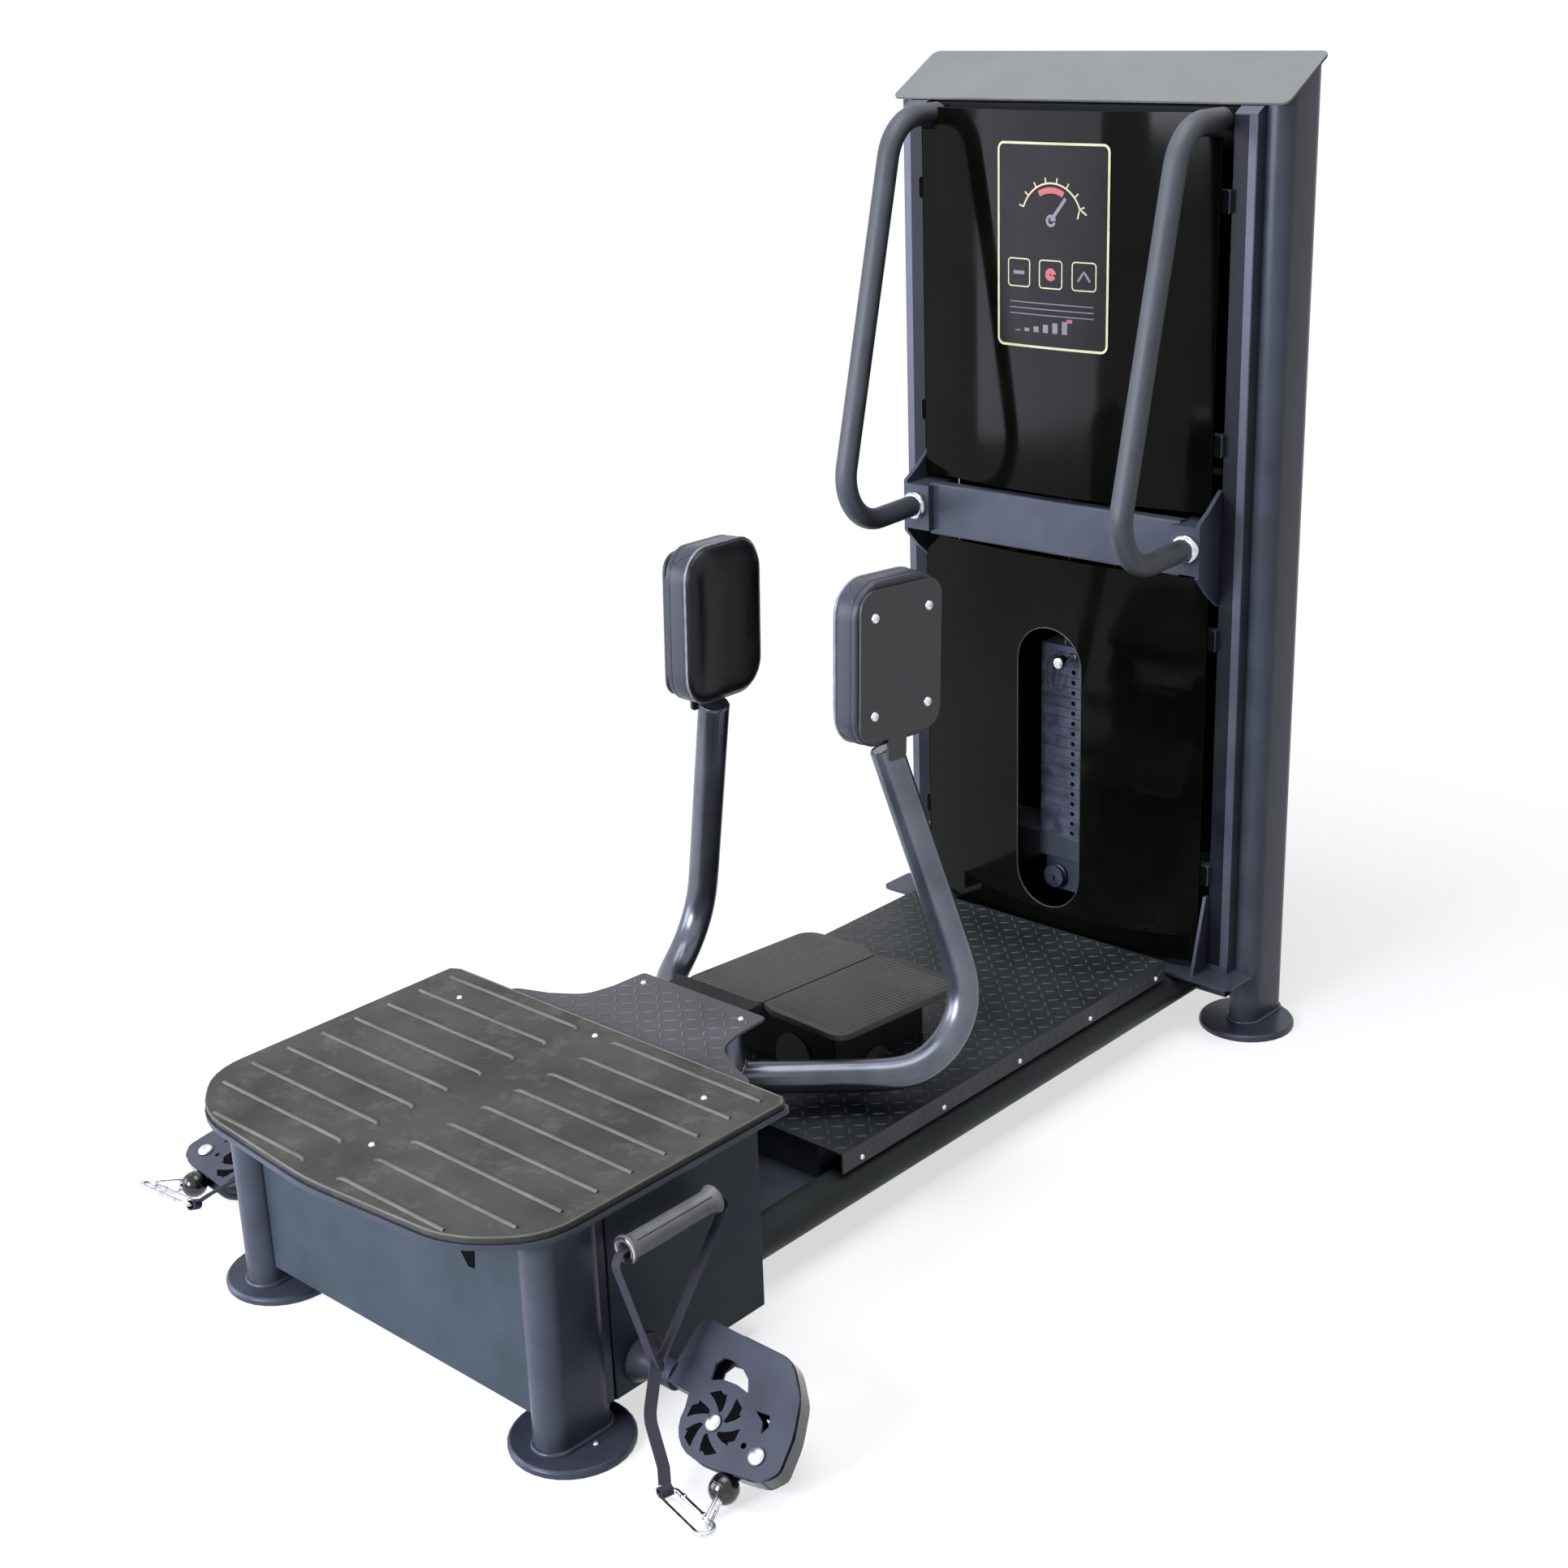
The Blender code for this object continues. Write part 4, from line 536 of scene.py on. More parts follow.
def rounded(points, radii, step=6, closed=False):
    """A polyline with each inner corner turned into an arc of steps of so many degrees."""
    points = [Vector(p) for p in points]
    if not hasattr(radii, "__len__"):
        radii = [radii] * len(points)
    made = []
    for i, here in enumerate(points):
        end = not closed and i in (0, len(points) - 1)
        back = (points[i - 1] - here).normalized()
        ahead = (points[(i + 1) % len(points)] - here).normalized()
        turn = math.pi - back.angle(ahead)
        if end or radii[i] <= 0 or turn < 0.01:
            made.append(here)
            continue
        centre = here + (back + ahead).normalized() * (radii[i] / math.cos(turn / 2))
        reach = radii[i] * math.tan(turn / 2)
        first = (here + back * reach - centre).normalized()
        last = (here + ahead * reach - centre).normalized()
        steps = max(2, math.ceil(turn / math.radians(step)))
        made += [centre + first.slerp(last, k / steps) * radii[i] for k in range(steps + 1)]
    return made


def ring(radius, steps=24):
    return [polar(radius, 360 * k / steps) for k in range(steps)]


def rings_along(path, sections, across, closed=False):
    """Rings along a path without twist. sections is one section or one per point."""
    path = [Vector(p) for p in path]
    count = len(path)
    one = not isinstance(sections[0][0], (list, tuple))
    tangents = []
    for i in range(count):
        before = path[i - 1] if closed or i else path[0]
        after = path[(i + 1) % count] if closed or i < count - 1 else path[-1]
        tangents.append((after - before).normalized())
    side = Vector(across)
    rings = []
    for i, (point, tangent) in enumerate(zip(path, tangents)):
        if i:
            side = tangents[i - 1].rotation_difference(tangent) @ side
        side = (side - side.dot(tangent) * tangent).normalized()
        other = tangent.cross(side)
        section = sections if one else sections[i]
        rings.append([point + side * u + other * v for u, v in section])
    return rings


def swept(rings, closed=False):
    """Quads between rings of equal count, with flat ends and a UV map in metres named weave."""
    work = bmesh.new()
    weave = work.loops.layers.uv.new("weave")
    made = [[work.verts.new(p) for p in ring_points] for ring_points in rings]
    pairs = list(zip(range(len(made)), range(1, len(made)))) + [(len(made) - 1, 0)] * closed
    along = 0.0
    for low, high in pairs:
        length = (Vector(rings[high][0]) - Vector(rings[low][0])).length
        around = 0.0
        for k in range(len(made[low])):
            n = (k + 1) % len(made[low])
            width = (Vector(rings[low][n]) - Vector(rings[low][k])).length
            face = work.faces.new((made[low][k], made[low][n], made[high][n], made[high][k]))
            for loop, at in zip(face.loops, rect(around, around + width, along, along + length)):
                loop[weave].uv = at
            around += width
        along += length
    if not closed:
        work.faces.new(list(reversed(made[0])))
        work.faces.new(made[-1])
    return to_mesh(work)


def lathe(profile, steps=32):
    """A (radius, height) profile turned about Z, closed at the axis or into a ring."""
    work = bmesh.new()
    made = [[work.verts.new((*spot, z)) for spot in ring(r, steps)] for r, z in profile]
    pairs = list(zip(made, made[1:]))
    if profile[0][0] > 0:
        pairs.append((made[-1], made[0]))
    for low, high in pairs:
        for k in range(steps):
            n = (k + 1) % steps
            work.faces.new((low[k], low[n], high[n], high[k]))
    return to_mesh(work, merge=1e-7)


def slab(outline, low, high, axis="Z"):
    """A flat outline raised from low to high along an axis."""
    rings = [[list(p) for p in outline] for _ in range(2)]
    for layer, height in zip(rings, (low, high)):
        for p in layer:
            p.insert("XYZ".index(axis), height)
    return swept(rings)


def corners(low_u, high_u, low_v, high_v, radius, step=15):
    """A rectangle's outline with round corners."""
    flat = [(u, v, 0) for u, v in rect(low_u, high_u, low_v, high_v)]
    return [tuple(p)[:2] for p in rounded(flat, radius, step, True)]


def facing(direction, at):
    """The matrix that lays Z along a direction at a point."""
    return Matrix.Translation(at) @ Vector(direction).to_track_quat("Z", "Y").to_matrix().to_4x4()


def joined(meshes):
    """Several meshes as one."""
    work = bmesh.new()
    for mesh in meshes:
        work.from_mesh(mesh)
    return to_mesh(work, outwards=False)


# %% [markdown]
# ## Two Geometry Nodes trees
# Two rules repeat all over the machine. The first lays a bead along a line: a weld, a raised rib or a
# seam welt. The second sets a small part on many points: a screw, a bolt or the lozenge of checker
# plate. Each is one tree with named sizes, and its result becomes a plain mesh.


# %% The bead tree
def new_tree(name, result, **inputs):
    """A tree with its inputs, each a kind of socket and its usual value, and one result."""
    tree = bpy.data.node_groups.new(name, "GeometryNodeTree")
    ids = {}
    for key, (kind, value) in inputs.items():
        made = tree.interface.new_socket(name=key.replace("_", " "), in_out="INPUT",
                                         socket_type="NodeSocket" + kind)
        if value is not None:
            made.default_value = value
        ids[key] = made.identifier
    tree.interface.new_socket(name=result, in_out="OUTPUT", socket_type="NodeSocketGeometry")
    return tree, ids, add(tree, "NodeGroupInput").outputs


def end_tree(tree, shape, given):
    """Makes a tree's shape real, gives it its finish and hands it out."""
    real = add(tree, "GeometryNodeRealizeInstances", {"Geometry": shape})
    add(tree, "NodeGroupOutput", {0: add(tree, "GeometryNodeSetMaterial", {
        "Geometry": real, "Material": given["Finish"]})})


bead_tree, bead_ids, given = new_tree(
    "bead_along_lines", "Bead", Lines=("Geometry", None), Radius=("Float", 0.003),
    Ripple=("Float", 0.0), Ripple_Length=("Float", 0.004), Step=("Float", 0.002), Sides=("Int", 8),
    Finish=("Material", None))
curve = add(bead_tree, "GeometryNodeMeshToCurve", {"Mesh": given["Lines"]})
even = add(bead_tree, "GeometryNodeResampleCurve", {"Curve": curve, "Length": given["Step"]},
           mode="LENGTH")
gone = add(bead_tree, "GeometryNodeSplineParameter").outputs["Length"]
turns = add(bead_tree, "Math", {0: gone, 1: given["Ripple Length"]}, operation="DIVIDE")
angle = add(bead_tree, "Math", {0: turns, 1: math.tau}, operation="MULTIPLY")
wave = add(bead_tree, "Math", {0: angle}, operation="SINE")
swell = add(bead_tree, "Math", {0: wave, 1: given["Ripple"], 2: 1.0}, operation="MULTIPLY_ADD")
sized = add(bead_tree, "GeometryNodeSetCurveRadius", {"Curve": even, "Radius": swell})
section = add(bead_tree, "GeometryNodeCurvePrimitiveCircle",
              {"Radius": given["Radius"], "Resolution": given["Sides"]})
end_tree(bead_tree, add(bead_tree, "GeometryNodeCurveToMesh", {
    "Curve": sized, "Profile Curve": section, "Fill Caps": True}), given)

# %% The stud tree
stud_tree, stud_ids, given = new_tree(
    "studs_on_points", "Studs", Points=("Geometry", None), Stud=("Object", None),
    Finish=("Material", None))
pattern = add(stud_tree, "GeometryNodeObjectInfo", {"Object": given["Stud"]})
turn_of = add(stud_tree, "GeometryNodeInputNamedAttribute", {"Name": "turn"},
              data_type="FLOAT_VECTOR")
size_of = add(stud_tree, "GeometryNodeInputNamedAttribute", {"Name": "size"}, data_type="FLOAT")
end_tree(stud_tree, add(stud_tree, "GeometryNodeInstanceOnPoints", {
    "Points": given["Points"], "Instance": pattern.outputs["Geometry"],
    "Rotation": turn_of.outputs["Attribute"], "Scale": size_of.outputs["Attribute"]}), given)


# %% Running a tree
def grown(name, mesh, tree, ids, coat, smooth_angle=50, **inputs):
    """Runs a tree on a mesh and returns the result as a plain object."""
    carrier = bpy.data.objects.new(name + "_lines", mesh)
    bpy.context.scene.collection.objects.link(carrier)
    rule = carrier.modifiers.new("rule", "NODES")
    rule.node_group = tree
    for key, value in dict(inputs, Finish=coat).items():
        rule[ids[key]] = value
    carrier.update_tag()
    bpy.context.view_layer.update()
    depsgraph = bpy.context.evaluated_depsgraph_get()
    made = bpy.data.meshes.new_from_object(carrier.evaluated_get(depsgraph))
    carrier.modifiers.remove(rule)
    bpy.data.objects.remove(carrier)
    work = bmesh.new()
    work.from_mesh(made)
    return as_piece(name, to_mesh(work, made, merge=1e-6), coat, smooth_angle)


def bead(name, lines, coat, body, slot_name, closed=False, **sizes):
    """A bead along each line of points."""
    verts = []
    edges = []
    for line in lines:
        first = len(verts)
        verts += [tuple(p) for p in line]
        edges += [(first + k, first + k + 1) for k in range(len(line) - 1)]
        if closed:
            edges.append((len(verts) - 1, first))
    mesh = bpy.data.meshes.new(name)
    mesh.from_pydata(verts, edges, [])
    return settle(grown(name, mesh, bead_tree, bead_ids, coat, **sizes), body, slot_name)


def studs(name, stud_mesh, spots, coat, body, slot_name, smooth_angle=50):
    """A copy of a small part on each (point, matrix or direction, size)."""
    mesh = bpy.data.meshes.new(name)
    mesh.from_pydata([tuple(p) for p, _, _ in spots], [], [])
    mesh.attributes.new("turn", "FLOAT_VECTOR", "POINT")
    mesh.attributes.new("size", "FLOAT", "POINT")
    turn, size = mesh.attributes["turn"], mesh.attributes["size"]
    for k, (_, way, scale) in enumerate(spots):
        turned = way if isinstance(way, Matrix) else Vector(way).to_track_quat("Z", "Y")
        turn.data[k].vector = turned.to_euler()
        size.data[k].value = scale
    stud = bpy.data.objects.new(name + "_pattern", stud_mesh)
    bpy.context.scene.collection.objects.link(stud)
    made = grown(name, mesh, stud_tree, stud_ids, coat, smooth_angle, Stud=stud)
    bpy.data.objects.remove(stud)
    return settle(made, body, slot_name)


def bead_pair(name, lines, coat, on, slot_name, closed=False, places=SIDES, **sizes):
    for side, place in places:
        lines_here = [[place @ Vector(p) for p in line] for line in lines]
        bead(name + side, lines_here, coat, rides_with(on, side), slot_name, closed, **sizes)


def stud_pair(name, stud_mesh, spots, coat, on, slot_name, places):
    for side, place in places:
        spots_here = [(place @ Vector(p), place.to_3x3() @ Vector(way), size)
                      for p, way, size in spots]
        studs(name + side, stud_mesh, spots_here, coat, rides_with(on, side), slot_name)


print("two rules ready")

# %% [markdown]
# ### Swinging arms
# Each arm is one bent tube welded to a hub that turns on a pin. It runs out along the deck, then
# sweeps up and in to the pad. The same four points and radii as the CAD give a fine path, so the
# visible tube is smooth where the collision tube has facets. The two bends run into each other, so
# the path is shared out evenly and then eased.

# %% Arms
PIVOT = Vector((0.052, -0.184, 0.210))
ARM_RUN = Vector((*polar(1, 41.1), 0))
ARM_ACROSS = Vector((-ARM_RUN.y, ARM_RUN.x, 0))
ARM_RADIUS = 0.0262
HUB_RADIUS = 0.030
HUB_LOW, HUB_HIGH, HUB_BORE = 0.1725, 0.3175, 0.0148
ARM_POINTS = [PIVOT + ARM_RUN * 0.018, (0.2764, 0.0117, 0.210), (0.3093, 0.1334, 0.2688),
              (0.1836, 0.0660, 0.7239)]
EASING_ROUNDS = 20
EDGE = 0.001
arm_path = evened(rounded(ARM_POINTS, [0, 0.10, 0.1167, 0], 4), 0.008)
for _ in range(EASING_ROUNDS):
    eased = [(a + b * 2 + c) / 4 for a, b, c in zip(arm_path, arm_path[1:], arm_path[2:])]
    arm_path = [arm_path[0]] + eased + [arm_path[-1]]
arm_top = arm_path[-1]
arm_up = (arm_path[-1] - arm_path[-2]).normalized()
arm_path[-1] = arm_top - arm_up * 0.002
arm_sections = [ring(ARM_RADIUS, 32)] * len(arm_path) + [ring(ARM_RADIUS - 0.002, 32)]
arm_tube = swept(rings_along(arm_path + [arm_top], arm_sections, ARM_ACROSS))
hub = lathe([(HUB_BORE, HUB_LOW), (HUB_RADIUS - 0.0008, HUB_LOW), (HUB_RADIUS, HUB_LOW + EDGE),
             (HUB_RADIUS, HUB_HIGH - EDGE), (HUB_RADIUS - 0.0008, HUB_HIGH), (HUB_BORE, HUB_HIGH)], 40)
hub = moved(hub, Matrix.Translation((PIVOT.x, PIVOT.y, 0)))
weld_ring = []
for across, height in ring(ARM_RADIUS + 0.0004, 40):
    out = math.sqrt((HUB_RADIUS + 0.0002)**2 - across**2)
    weld_ring.append(PIVOT + ARM_ACROSS * across + ARM_RUN * out + Vector((0, 0, height)))
# A plug closes the tube's upper end, and its edge is ground to a ring.
plug_side = arm_up.orthogonal().normalized()
plug_ring = [arm_top + (Matrix.Rotation(math.tau * k / 32, 3, arm_up) @ plug_side)
             * (ARM_RADIUS - 0.0032) for k in range(32)]
pair("arm_tube_", joined([arm_tube, hub]), arm_coat, "arm_", "powder_coat", "arm_")
bead_pair("arm_hub_weld_", [weld_ring], arm_coat, "arm_", "powder_coat", True, Radius=0.0032,
          Ripple=0.16, Ripple_Length=0.0035, Step=0.0012)
bead_pair("arm_plug_ring_", [plug_ring], arm_coat, "arm_", "powder_coat", True, Radius=0.0016,
          Step=0.002)
print("arms with", len(arm_path), "rings")

# %% [markdown]
# ### Padded rollers by cloth
# A hip pad is foam in a sewn vinyl cover: a front panel, a band of four mitred strips and a narrow
# strip round the board. The cover starts 3 mm inside its final size, is remeshed into even 5 mm cells,
# and Blender's cloth solver blows it up like foam that pushes from inside. A cap keeps every point
# within a few millimetres, the back stays flat on its plate, and the two seams are pulled in after.

# %% Cushion shape
PAD_AT = (Matrix.Translation((0.2095, 0.0715, 0.8674)) @ Matrix.Rotation(math.radians(-4.4), 4, "Z")
          @ Matrix.Rotation(math.radians(-2.2), 4, "X"))
PAD_HALF_Y, PAD_HALF_Z = 0.0935, 0.1303
PAD_CORNER = 0.0495  # the radius of a corner, whose centre lies at the next two values
CORNER_Y, CORNER_Z = 0.044, 0.081
# Depth from the back and inset from the outline, ring by ring.
PAD_LEVELS = [(0.0006, 0.0045), (0.003, 0.0030), (0.012, 0.0028), (0.030, 0.0026), (0.047, 0.0026),
              (0.053, 0.0070), (0.0585, 0.0145), (0.0620, 0.024), (0.0640, 0.040), (0.0648, 0.062)]
BOARD_SEAM, PIPING_SEAM = 0.0130, 0.0455
PRESSURE, FRAMES, AVERAGING_ROUNDS = 4.0, 20, 30
SWELL, SWELL_SHARE, SWELL_MOST = 0.0022, 0.15, 0.006
BACK = 0.0006


def pad_ring(depth, inset, corner=PAD_CORNER, step=90.1 / 8):
    half_y, half_z = PAD_HALF_Y - inset, PAD_HALF_Z - inset
    return rounded([(-depth, y, z) for y, z in rect(-half_y, half_y, -half_z, half_z)],
                   max(corner - inset * 0.35, 0.012), step, True)


def evaluated(obj):
    return obj.evaluated_get(bpy.context.evaluated_depsgraph_get())


def blow_up(mesh):
    """Swells a cover by cloth. Neighbours share their movement, which drops the small buckles."""
    before = [v.co.copy() for v in mesh.vertices]
    cover_cloth = bpy.data.objects.new("cover_cloth", mesh)
    bpy.context.scene.collection.objects.link(cover_cloth)
    cloth = cover_cloth.modifiers.new("cloth", "CLOTH")
    cloth.settings.quality = 5
    cloth.settings.mass = 0.3
    cloth.settings.use_pressure = True
    cloth.settings.uniform_pressure_force = PRESSURE
    cloth.settings.effector_weights.gravity = 0.0
    for number in range(1, FRAMES + 1):
        bpy.context.scene.frame_set(number)
    after = [v.co.copy() for v in evaluated(cover_cloth).to_mesh().vertices]
    cover_cloth.modifiers.remove(cloth)
    bpy.data.objects.remove(cover_cloth)
    bpy.context.scene.frame_set(1)
    steps = [new - old for old, new in zip(before, after)]
    beside = [[] for _ in steps]
    for edge in mesh.edges:
        a, b = edge.vertices
        beside[a].append(b)
        beside[b].append(a)
    for _ in range(AVERAGING_ROUNDS):
        steps = [(step + sum((steps[k] for k in near), Vector()) / max(len(near), 1)) / 2
                 for step, near in zip(steps, beside)]
    for v, old, step in zip(mesh.vertices, before, steps):
        outward = max(0.0, step.dot(v.normal))
        v.co = old + v.normal * min(SWELL + SWELL_SHARE * outward, SWELL_MOST)
    most = max((v.co - old).length for v, old in zip(mesh.vertices, before))
    print("cover swelled by up to", round(most * 1000, 1), "mm")


def cushion_mesh():
    """The cover in the pad's own space: X points out of the back, Y and Z lie in it."""
    shell = bpy.data.objects.new("cover_start", swept([pad_ring(*level) for level in PAD_LEVELS]))
    bpy.context.scene.collection.objects.link(shell)
    even = shell.modifiers.new("even", "REMESH")
    even.mode = "VOXEL"
    even.voxel_size = 0.005
    bpy.context.view_layer.update()
    mesh = bpy.data.meshes.new_from_object(evaluated(shell))
    bpy.data.objects.remove(shell)
    blow_up(mesh)
    for v in mesh.vertices:
        depth = -v.co.x
        rim = max(abs(v.co.y) / PAD_HALF_Y, abs(v.co.z) / PAD_HALF_Z)
        inward = Vector((0, -v.co.y, -v.co.z * 0.6)).normalized()
        for seam, deep, wide in ((BOARD_SEAM, 0.0016, 0.0030), (PIPING_SEAM, 0.0014, 0.0034)):
            if rim > 0.7:
                v.co += inward * deep * math.exp(-((depth - seam) / wide) ** 2)
        # Vinyl gathers at a sewn corner, so short folds fan out from each one.
        corner = max(0.0, abs(v.co.y) / PAD_HALF_Y + abs(v.co.z) / PAD_HALF_Z - 1.42)
        corner *= min(1.0, max(0.0, depth - 0.030) / 0.02)
        fan = math.atan2(abs(v.co.z) - CORNER_Z, abs(v.co.y) - CORNER_Y)
        fold = 0.5 + 0.5 * math.sin(fan * 17 + depth * 160)
        v.co += inward * 0.0011 * min(corner * 2.2, 1.0) * fold
        v.co.x = min(v.co.x, -BACK)
    # The band attribute marks where the cover takes its painted sheen, a lighter and greyer colour.
    band = mesh.attributes.new("band", "FLOAT", "POINT")
    for v, item in zip(mesh.vertices, band.data):
        past = math.hypot(max(abs(v.co.y) - CORNER_Y, 0), max(abs(v.co.z) - CORNER_Z, 0))
        rim = max(abs(v.co.y) / PAD_HALF_Y, abs(v.co.z) / PAD_HALF_Z, past / PAD_CORNER)
        item.value = float(rim > 0.85 and -v.co.x < PIPING_SEAM)
    return mesh


# %% Seams and pads
OUTSIDE = 0.010
cushion = cushion_mesh()
cover_tree = BVHTree.FromPolygons([v.co for v in cushion.vertices],
                                  [tuple(p.vertices) for p in cushion.polygons])


def seam_ring(depth, lift):
    """A closed line on the cover at a depth, found by rays from an outline that lies outside it."""
    made = []
    outline = pad_ring(depth, -OUTSIDE, PAD_CORNER + OUTSIDE * 0.65, 9)
    for p in evened(outline, 0.008, True):
        centre = Vector((-depth, max(-CORNER_Y, min(CORNER_Y, p.y)),
                         max(-CORNER_Z, min(CORNER_Z, p.z))))
        inward = (centre - p).normalized()
        hit = cover_tree.ray_cast(p, inward)[0]
        made.append((hit or centre) - inward * lift)
    return made


def mitre(corner_y, corner_z):
    """A seam that crosses the band at a corner, from the board strip to the piping."""
    made = []
    for k in range(7):
        depth = BOARD_SEAM + (PIPING_SEAM - BOARD_SEAM) * k / 6
        way_y, way_z = polar(1, 45 + corner_y * corner_z * (20 - 40 * k / 6))
        way = Vector((0, way_y * corner_y, way_z * corner_z))
        centre = Vector((-depth, CORNER_Y * corner_y, CORNER_Z * corner_z))
        hit = cover_tree.ray_cast(centre + way * 0.09, -way)[0]
        made.append((hit or centre + way * PAD_CORNER) + way * 0.0002)
    return made


PAD_PLACES = [(side, flip @ PAD_AT) for side, flip in SIDES]
mitres = [mitre(y, z) for y in (-1, 1) for z in (-1, 1)]
for pad in pair("pad_cover_", cushion, vinyl, "pad_", "pad_vinyl", "pad_", angle=180,
                places=PAD_PLACES):
    smooth = pad.modifiers.new("smooth", "SUBSURF")
    smooth.levels = smooth.render_levels = 1
# The piping takes the pale vinyl, a painted glint along its ridge.
bead_pair("pad_piping_", [seam_ring(PIPING_SEAM, 0.0004)], piping_painted_glint, "pad_", "pad_vinyl", True,
          PAD_PLACES, Radius=0.0024, Step=0.003)
bead_pair("pad_board_seam_", [seam_ring(BOARD_SEAM, 0.0)], vinyl, "pad_", "pad_vinyl", True,
          PAD_PLACES, Radius=0.0008, Step=0.004, Sides=6)
# The mitre seams take the lighter vinyl, a painted highlight along their ridges.
bead_pair("pad_mitre_seams_", mitres, seam_vinyl_painted_highlight, "pad_", "pad_vinyl", places=PAD_PLACES,
          Radius=0.0009, Step=0.003, Sides=6)
print("cushions sewn")

# %% [markdown]
# ### Grab bars
# Each grab bar is a chromed steel bar in a rubber sleeve that stops short of both ends, where a bright
# collar meets the tower. Sleeve and bar share one path, so they can't drift apart.

# %% Grab bars
BAR_X, BAR_HIGH, BAR_LOW, BAR_FOOT = 0.293, 1.607, 0.913, 0.7347
BAR_RADIUS, SLEEVE_END, SLEEVE = 0.0142, ring(0.0180), ring(0.0195)
bar_path = rounded([(BAR_X, 0.8317, BAR_HIGH), (BAR_X, 0.689, BAR_HIGH), (BAR_X, 0.514, 0.905),
                    (BAR_X, 0.7197, BAR_LOW), (BAR_X, BAR_FOOT, BAR_LOW)], [0, 0.085, 0.088, 0, 0], 5)
sleeve_path = [Vector((BAR_X, y, BAR_HIGH)) for y in (0.8117, 0.8105)] + bar_path[1:-1]
sleeve_path += [Vector((BAR_X, y, BAR_LOW)) for y in (0.7215, 0.7227)]
sleeve_rings = [SLEEVE_END] + [SLEEVE] * (len(sleeve_path) - 2) + [SLEEVE_END]
bar_ends = [swept(rings_along(ends, ring(BAR_RADIUS), (1, 0, 0))) for ends in (
    [bar_path[0], (BAR_X, 0.79, BAR_HIGH)], [(BAR_X, 0.7215, BAR_LOW), bar_path[-1]])]
collar = moved(lathe([(BAR_RADIUS, 0), (0.0262, 0), (0.0262, 0.0050), (0.0245, 0.0092),
                      (0.0215, 0.0112), (BAR_RADIUS, 0.0112)]),
               facing((0, -1, 0), (BAR_X, BAR_FOOT, BAR_LOW)))
pair("bar_sleeve_", swept(rings_along(sleeve_path, sleeve_rings, (1, 0, 0))), grip_rubber, "frame",
     "grip_rubber", "bar_grip_")
pair("bar_steel_", joined(bar_ends + [collar]), chrome, "frame", "chrome", "grab_bar_")
print("grab bars with", len(sleeve_path), "rings")

# %% [markdown]
# ### Checker plate
# Checker plate is rolled with lozenges that alternate by a quarter turn, 24 mm apart. One low lozenge
# with a few faces is set on a grid by the stud tree, and the grid covers the deck, its side skirts and
# the neck plate, wherever the plate has room.

# %% Lozenges
PITCH_X, PITCH_Y, NECK_PITCH = 0.0243, 0.0241, 0.0226
DECK_ROWS, HALF_COLUMNS = 37, range(-11, 12)
DECK_TOP, NECK_TOP, SKIRT_X, SKIRT_Z = 0.150, 0.3385, 0.283, 0.1325
outline = [(0.0105, 0), (0.0055, 0.0019), (0, 0.0024), (-0.0055, 0.0019), (-0.0105, 0),
           (-0.0055, -0.0019), (0, -0.0024), (0.0055, -0.0019)]
verts = [(x, y, -0.0003) for x, y in outline] + [(x * 0.72, y * 0.5, 0.0010) for x, y in outline]
faces = [(k, (k + 1) % 8, 8 + (k + 1) % 8, 8 + k) for k in range(8)] + [tuple(range(8, 16))]
lozenge = bpy.data.meshes.new("lozenge")
lozenge.from_pydata(verts, [], faces)


def lozenge_turn(i, j, tilt=0):
    spin = Matrix.Rotation(math.radians(45 if (i + j) % 2 else -45), 4, "Z")
    return Matrix.Rotation(math.radians(tilt), 4, "Y") @ spin


def width_at(stations, y):
    """The half-width at y, from a row of (y, half-width) stations."""
    for (y0, w0), (y1, w1) in zip(stations, stations[1:]):
        if y <= y1:
            return w0 + (w1 - w0) * max(y - y0, 0) / (y1 - y0)
    return stations[-1][1]


NECK_STATIONS = [(-0.431, 0.262), (-0.352, 0.258), (-0.325, 0.205), (-0.300, 0.160),
                 (-0.270, 0.141), (-0.240, 0.136), (-0.176, 0.133)]
grids = {
    "deck_lozenges": [((i * PITCH_X, -0.160 + j * PITCH_Y, DECK_TOP), lozenge_turn(i, j), 1.0)
                      for i in HALF_COLUMNS for j in range(DECK_ROWS)],
    "skirt_lozenges": [((way * SKIRT_X, -0.163 + j * PITCH_Y, SKIRT_Z),
                        lozenge_turn(0, j, way * 90), 0.95)
                       for j in range(DECK_ROWS) for way in (1, -1)],
    "neck_lozenges": [((i * PITCH_X, y, NECK_TOP), lozenge_turn(i, j), 1.0) for i in HALF_COLUMNS
                      for j, y in enumerate(-0.365 + k * NECK_PITCH for k in range(11))
                      if y < -0.19 and abs(i * PITCH_X) < width_at(NECK_STATIONS, y) - 0.011]}
for name, spots in grids.items():
    tips = neck_tips if name.startswith("neck") else deck_tips
    studs(name, lozenge, spots, tips, "frame", "diamond_plate", 25)
print(sum(len(spots) for spots in grids.values()), "lozenges")
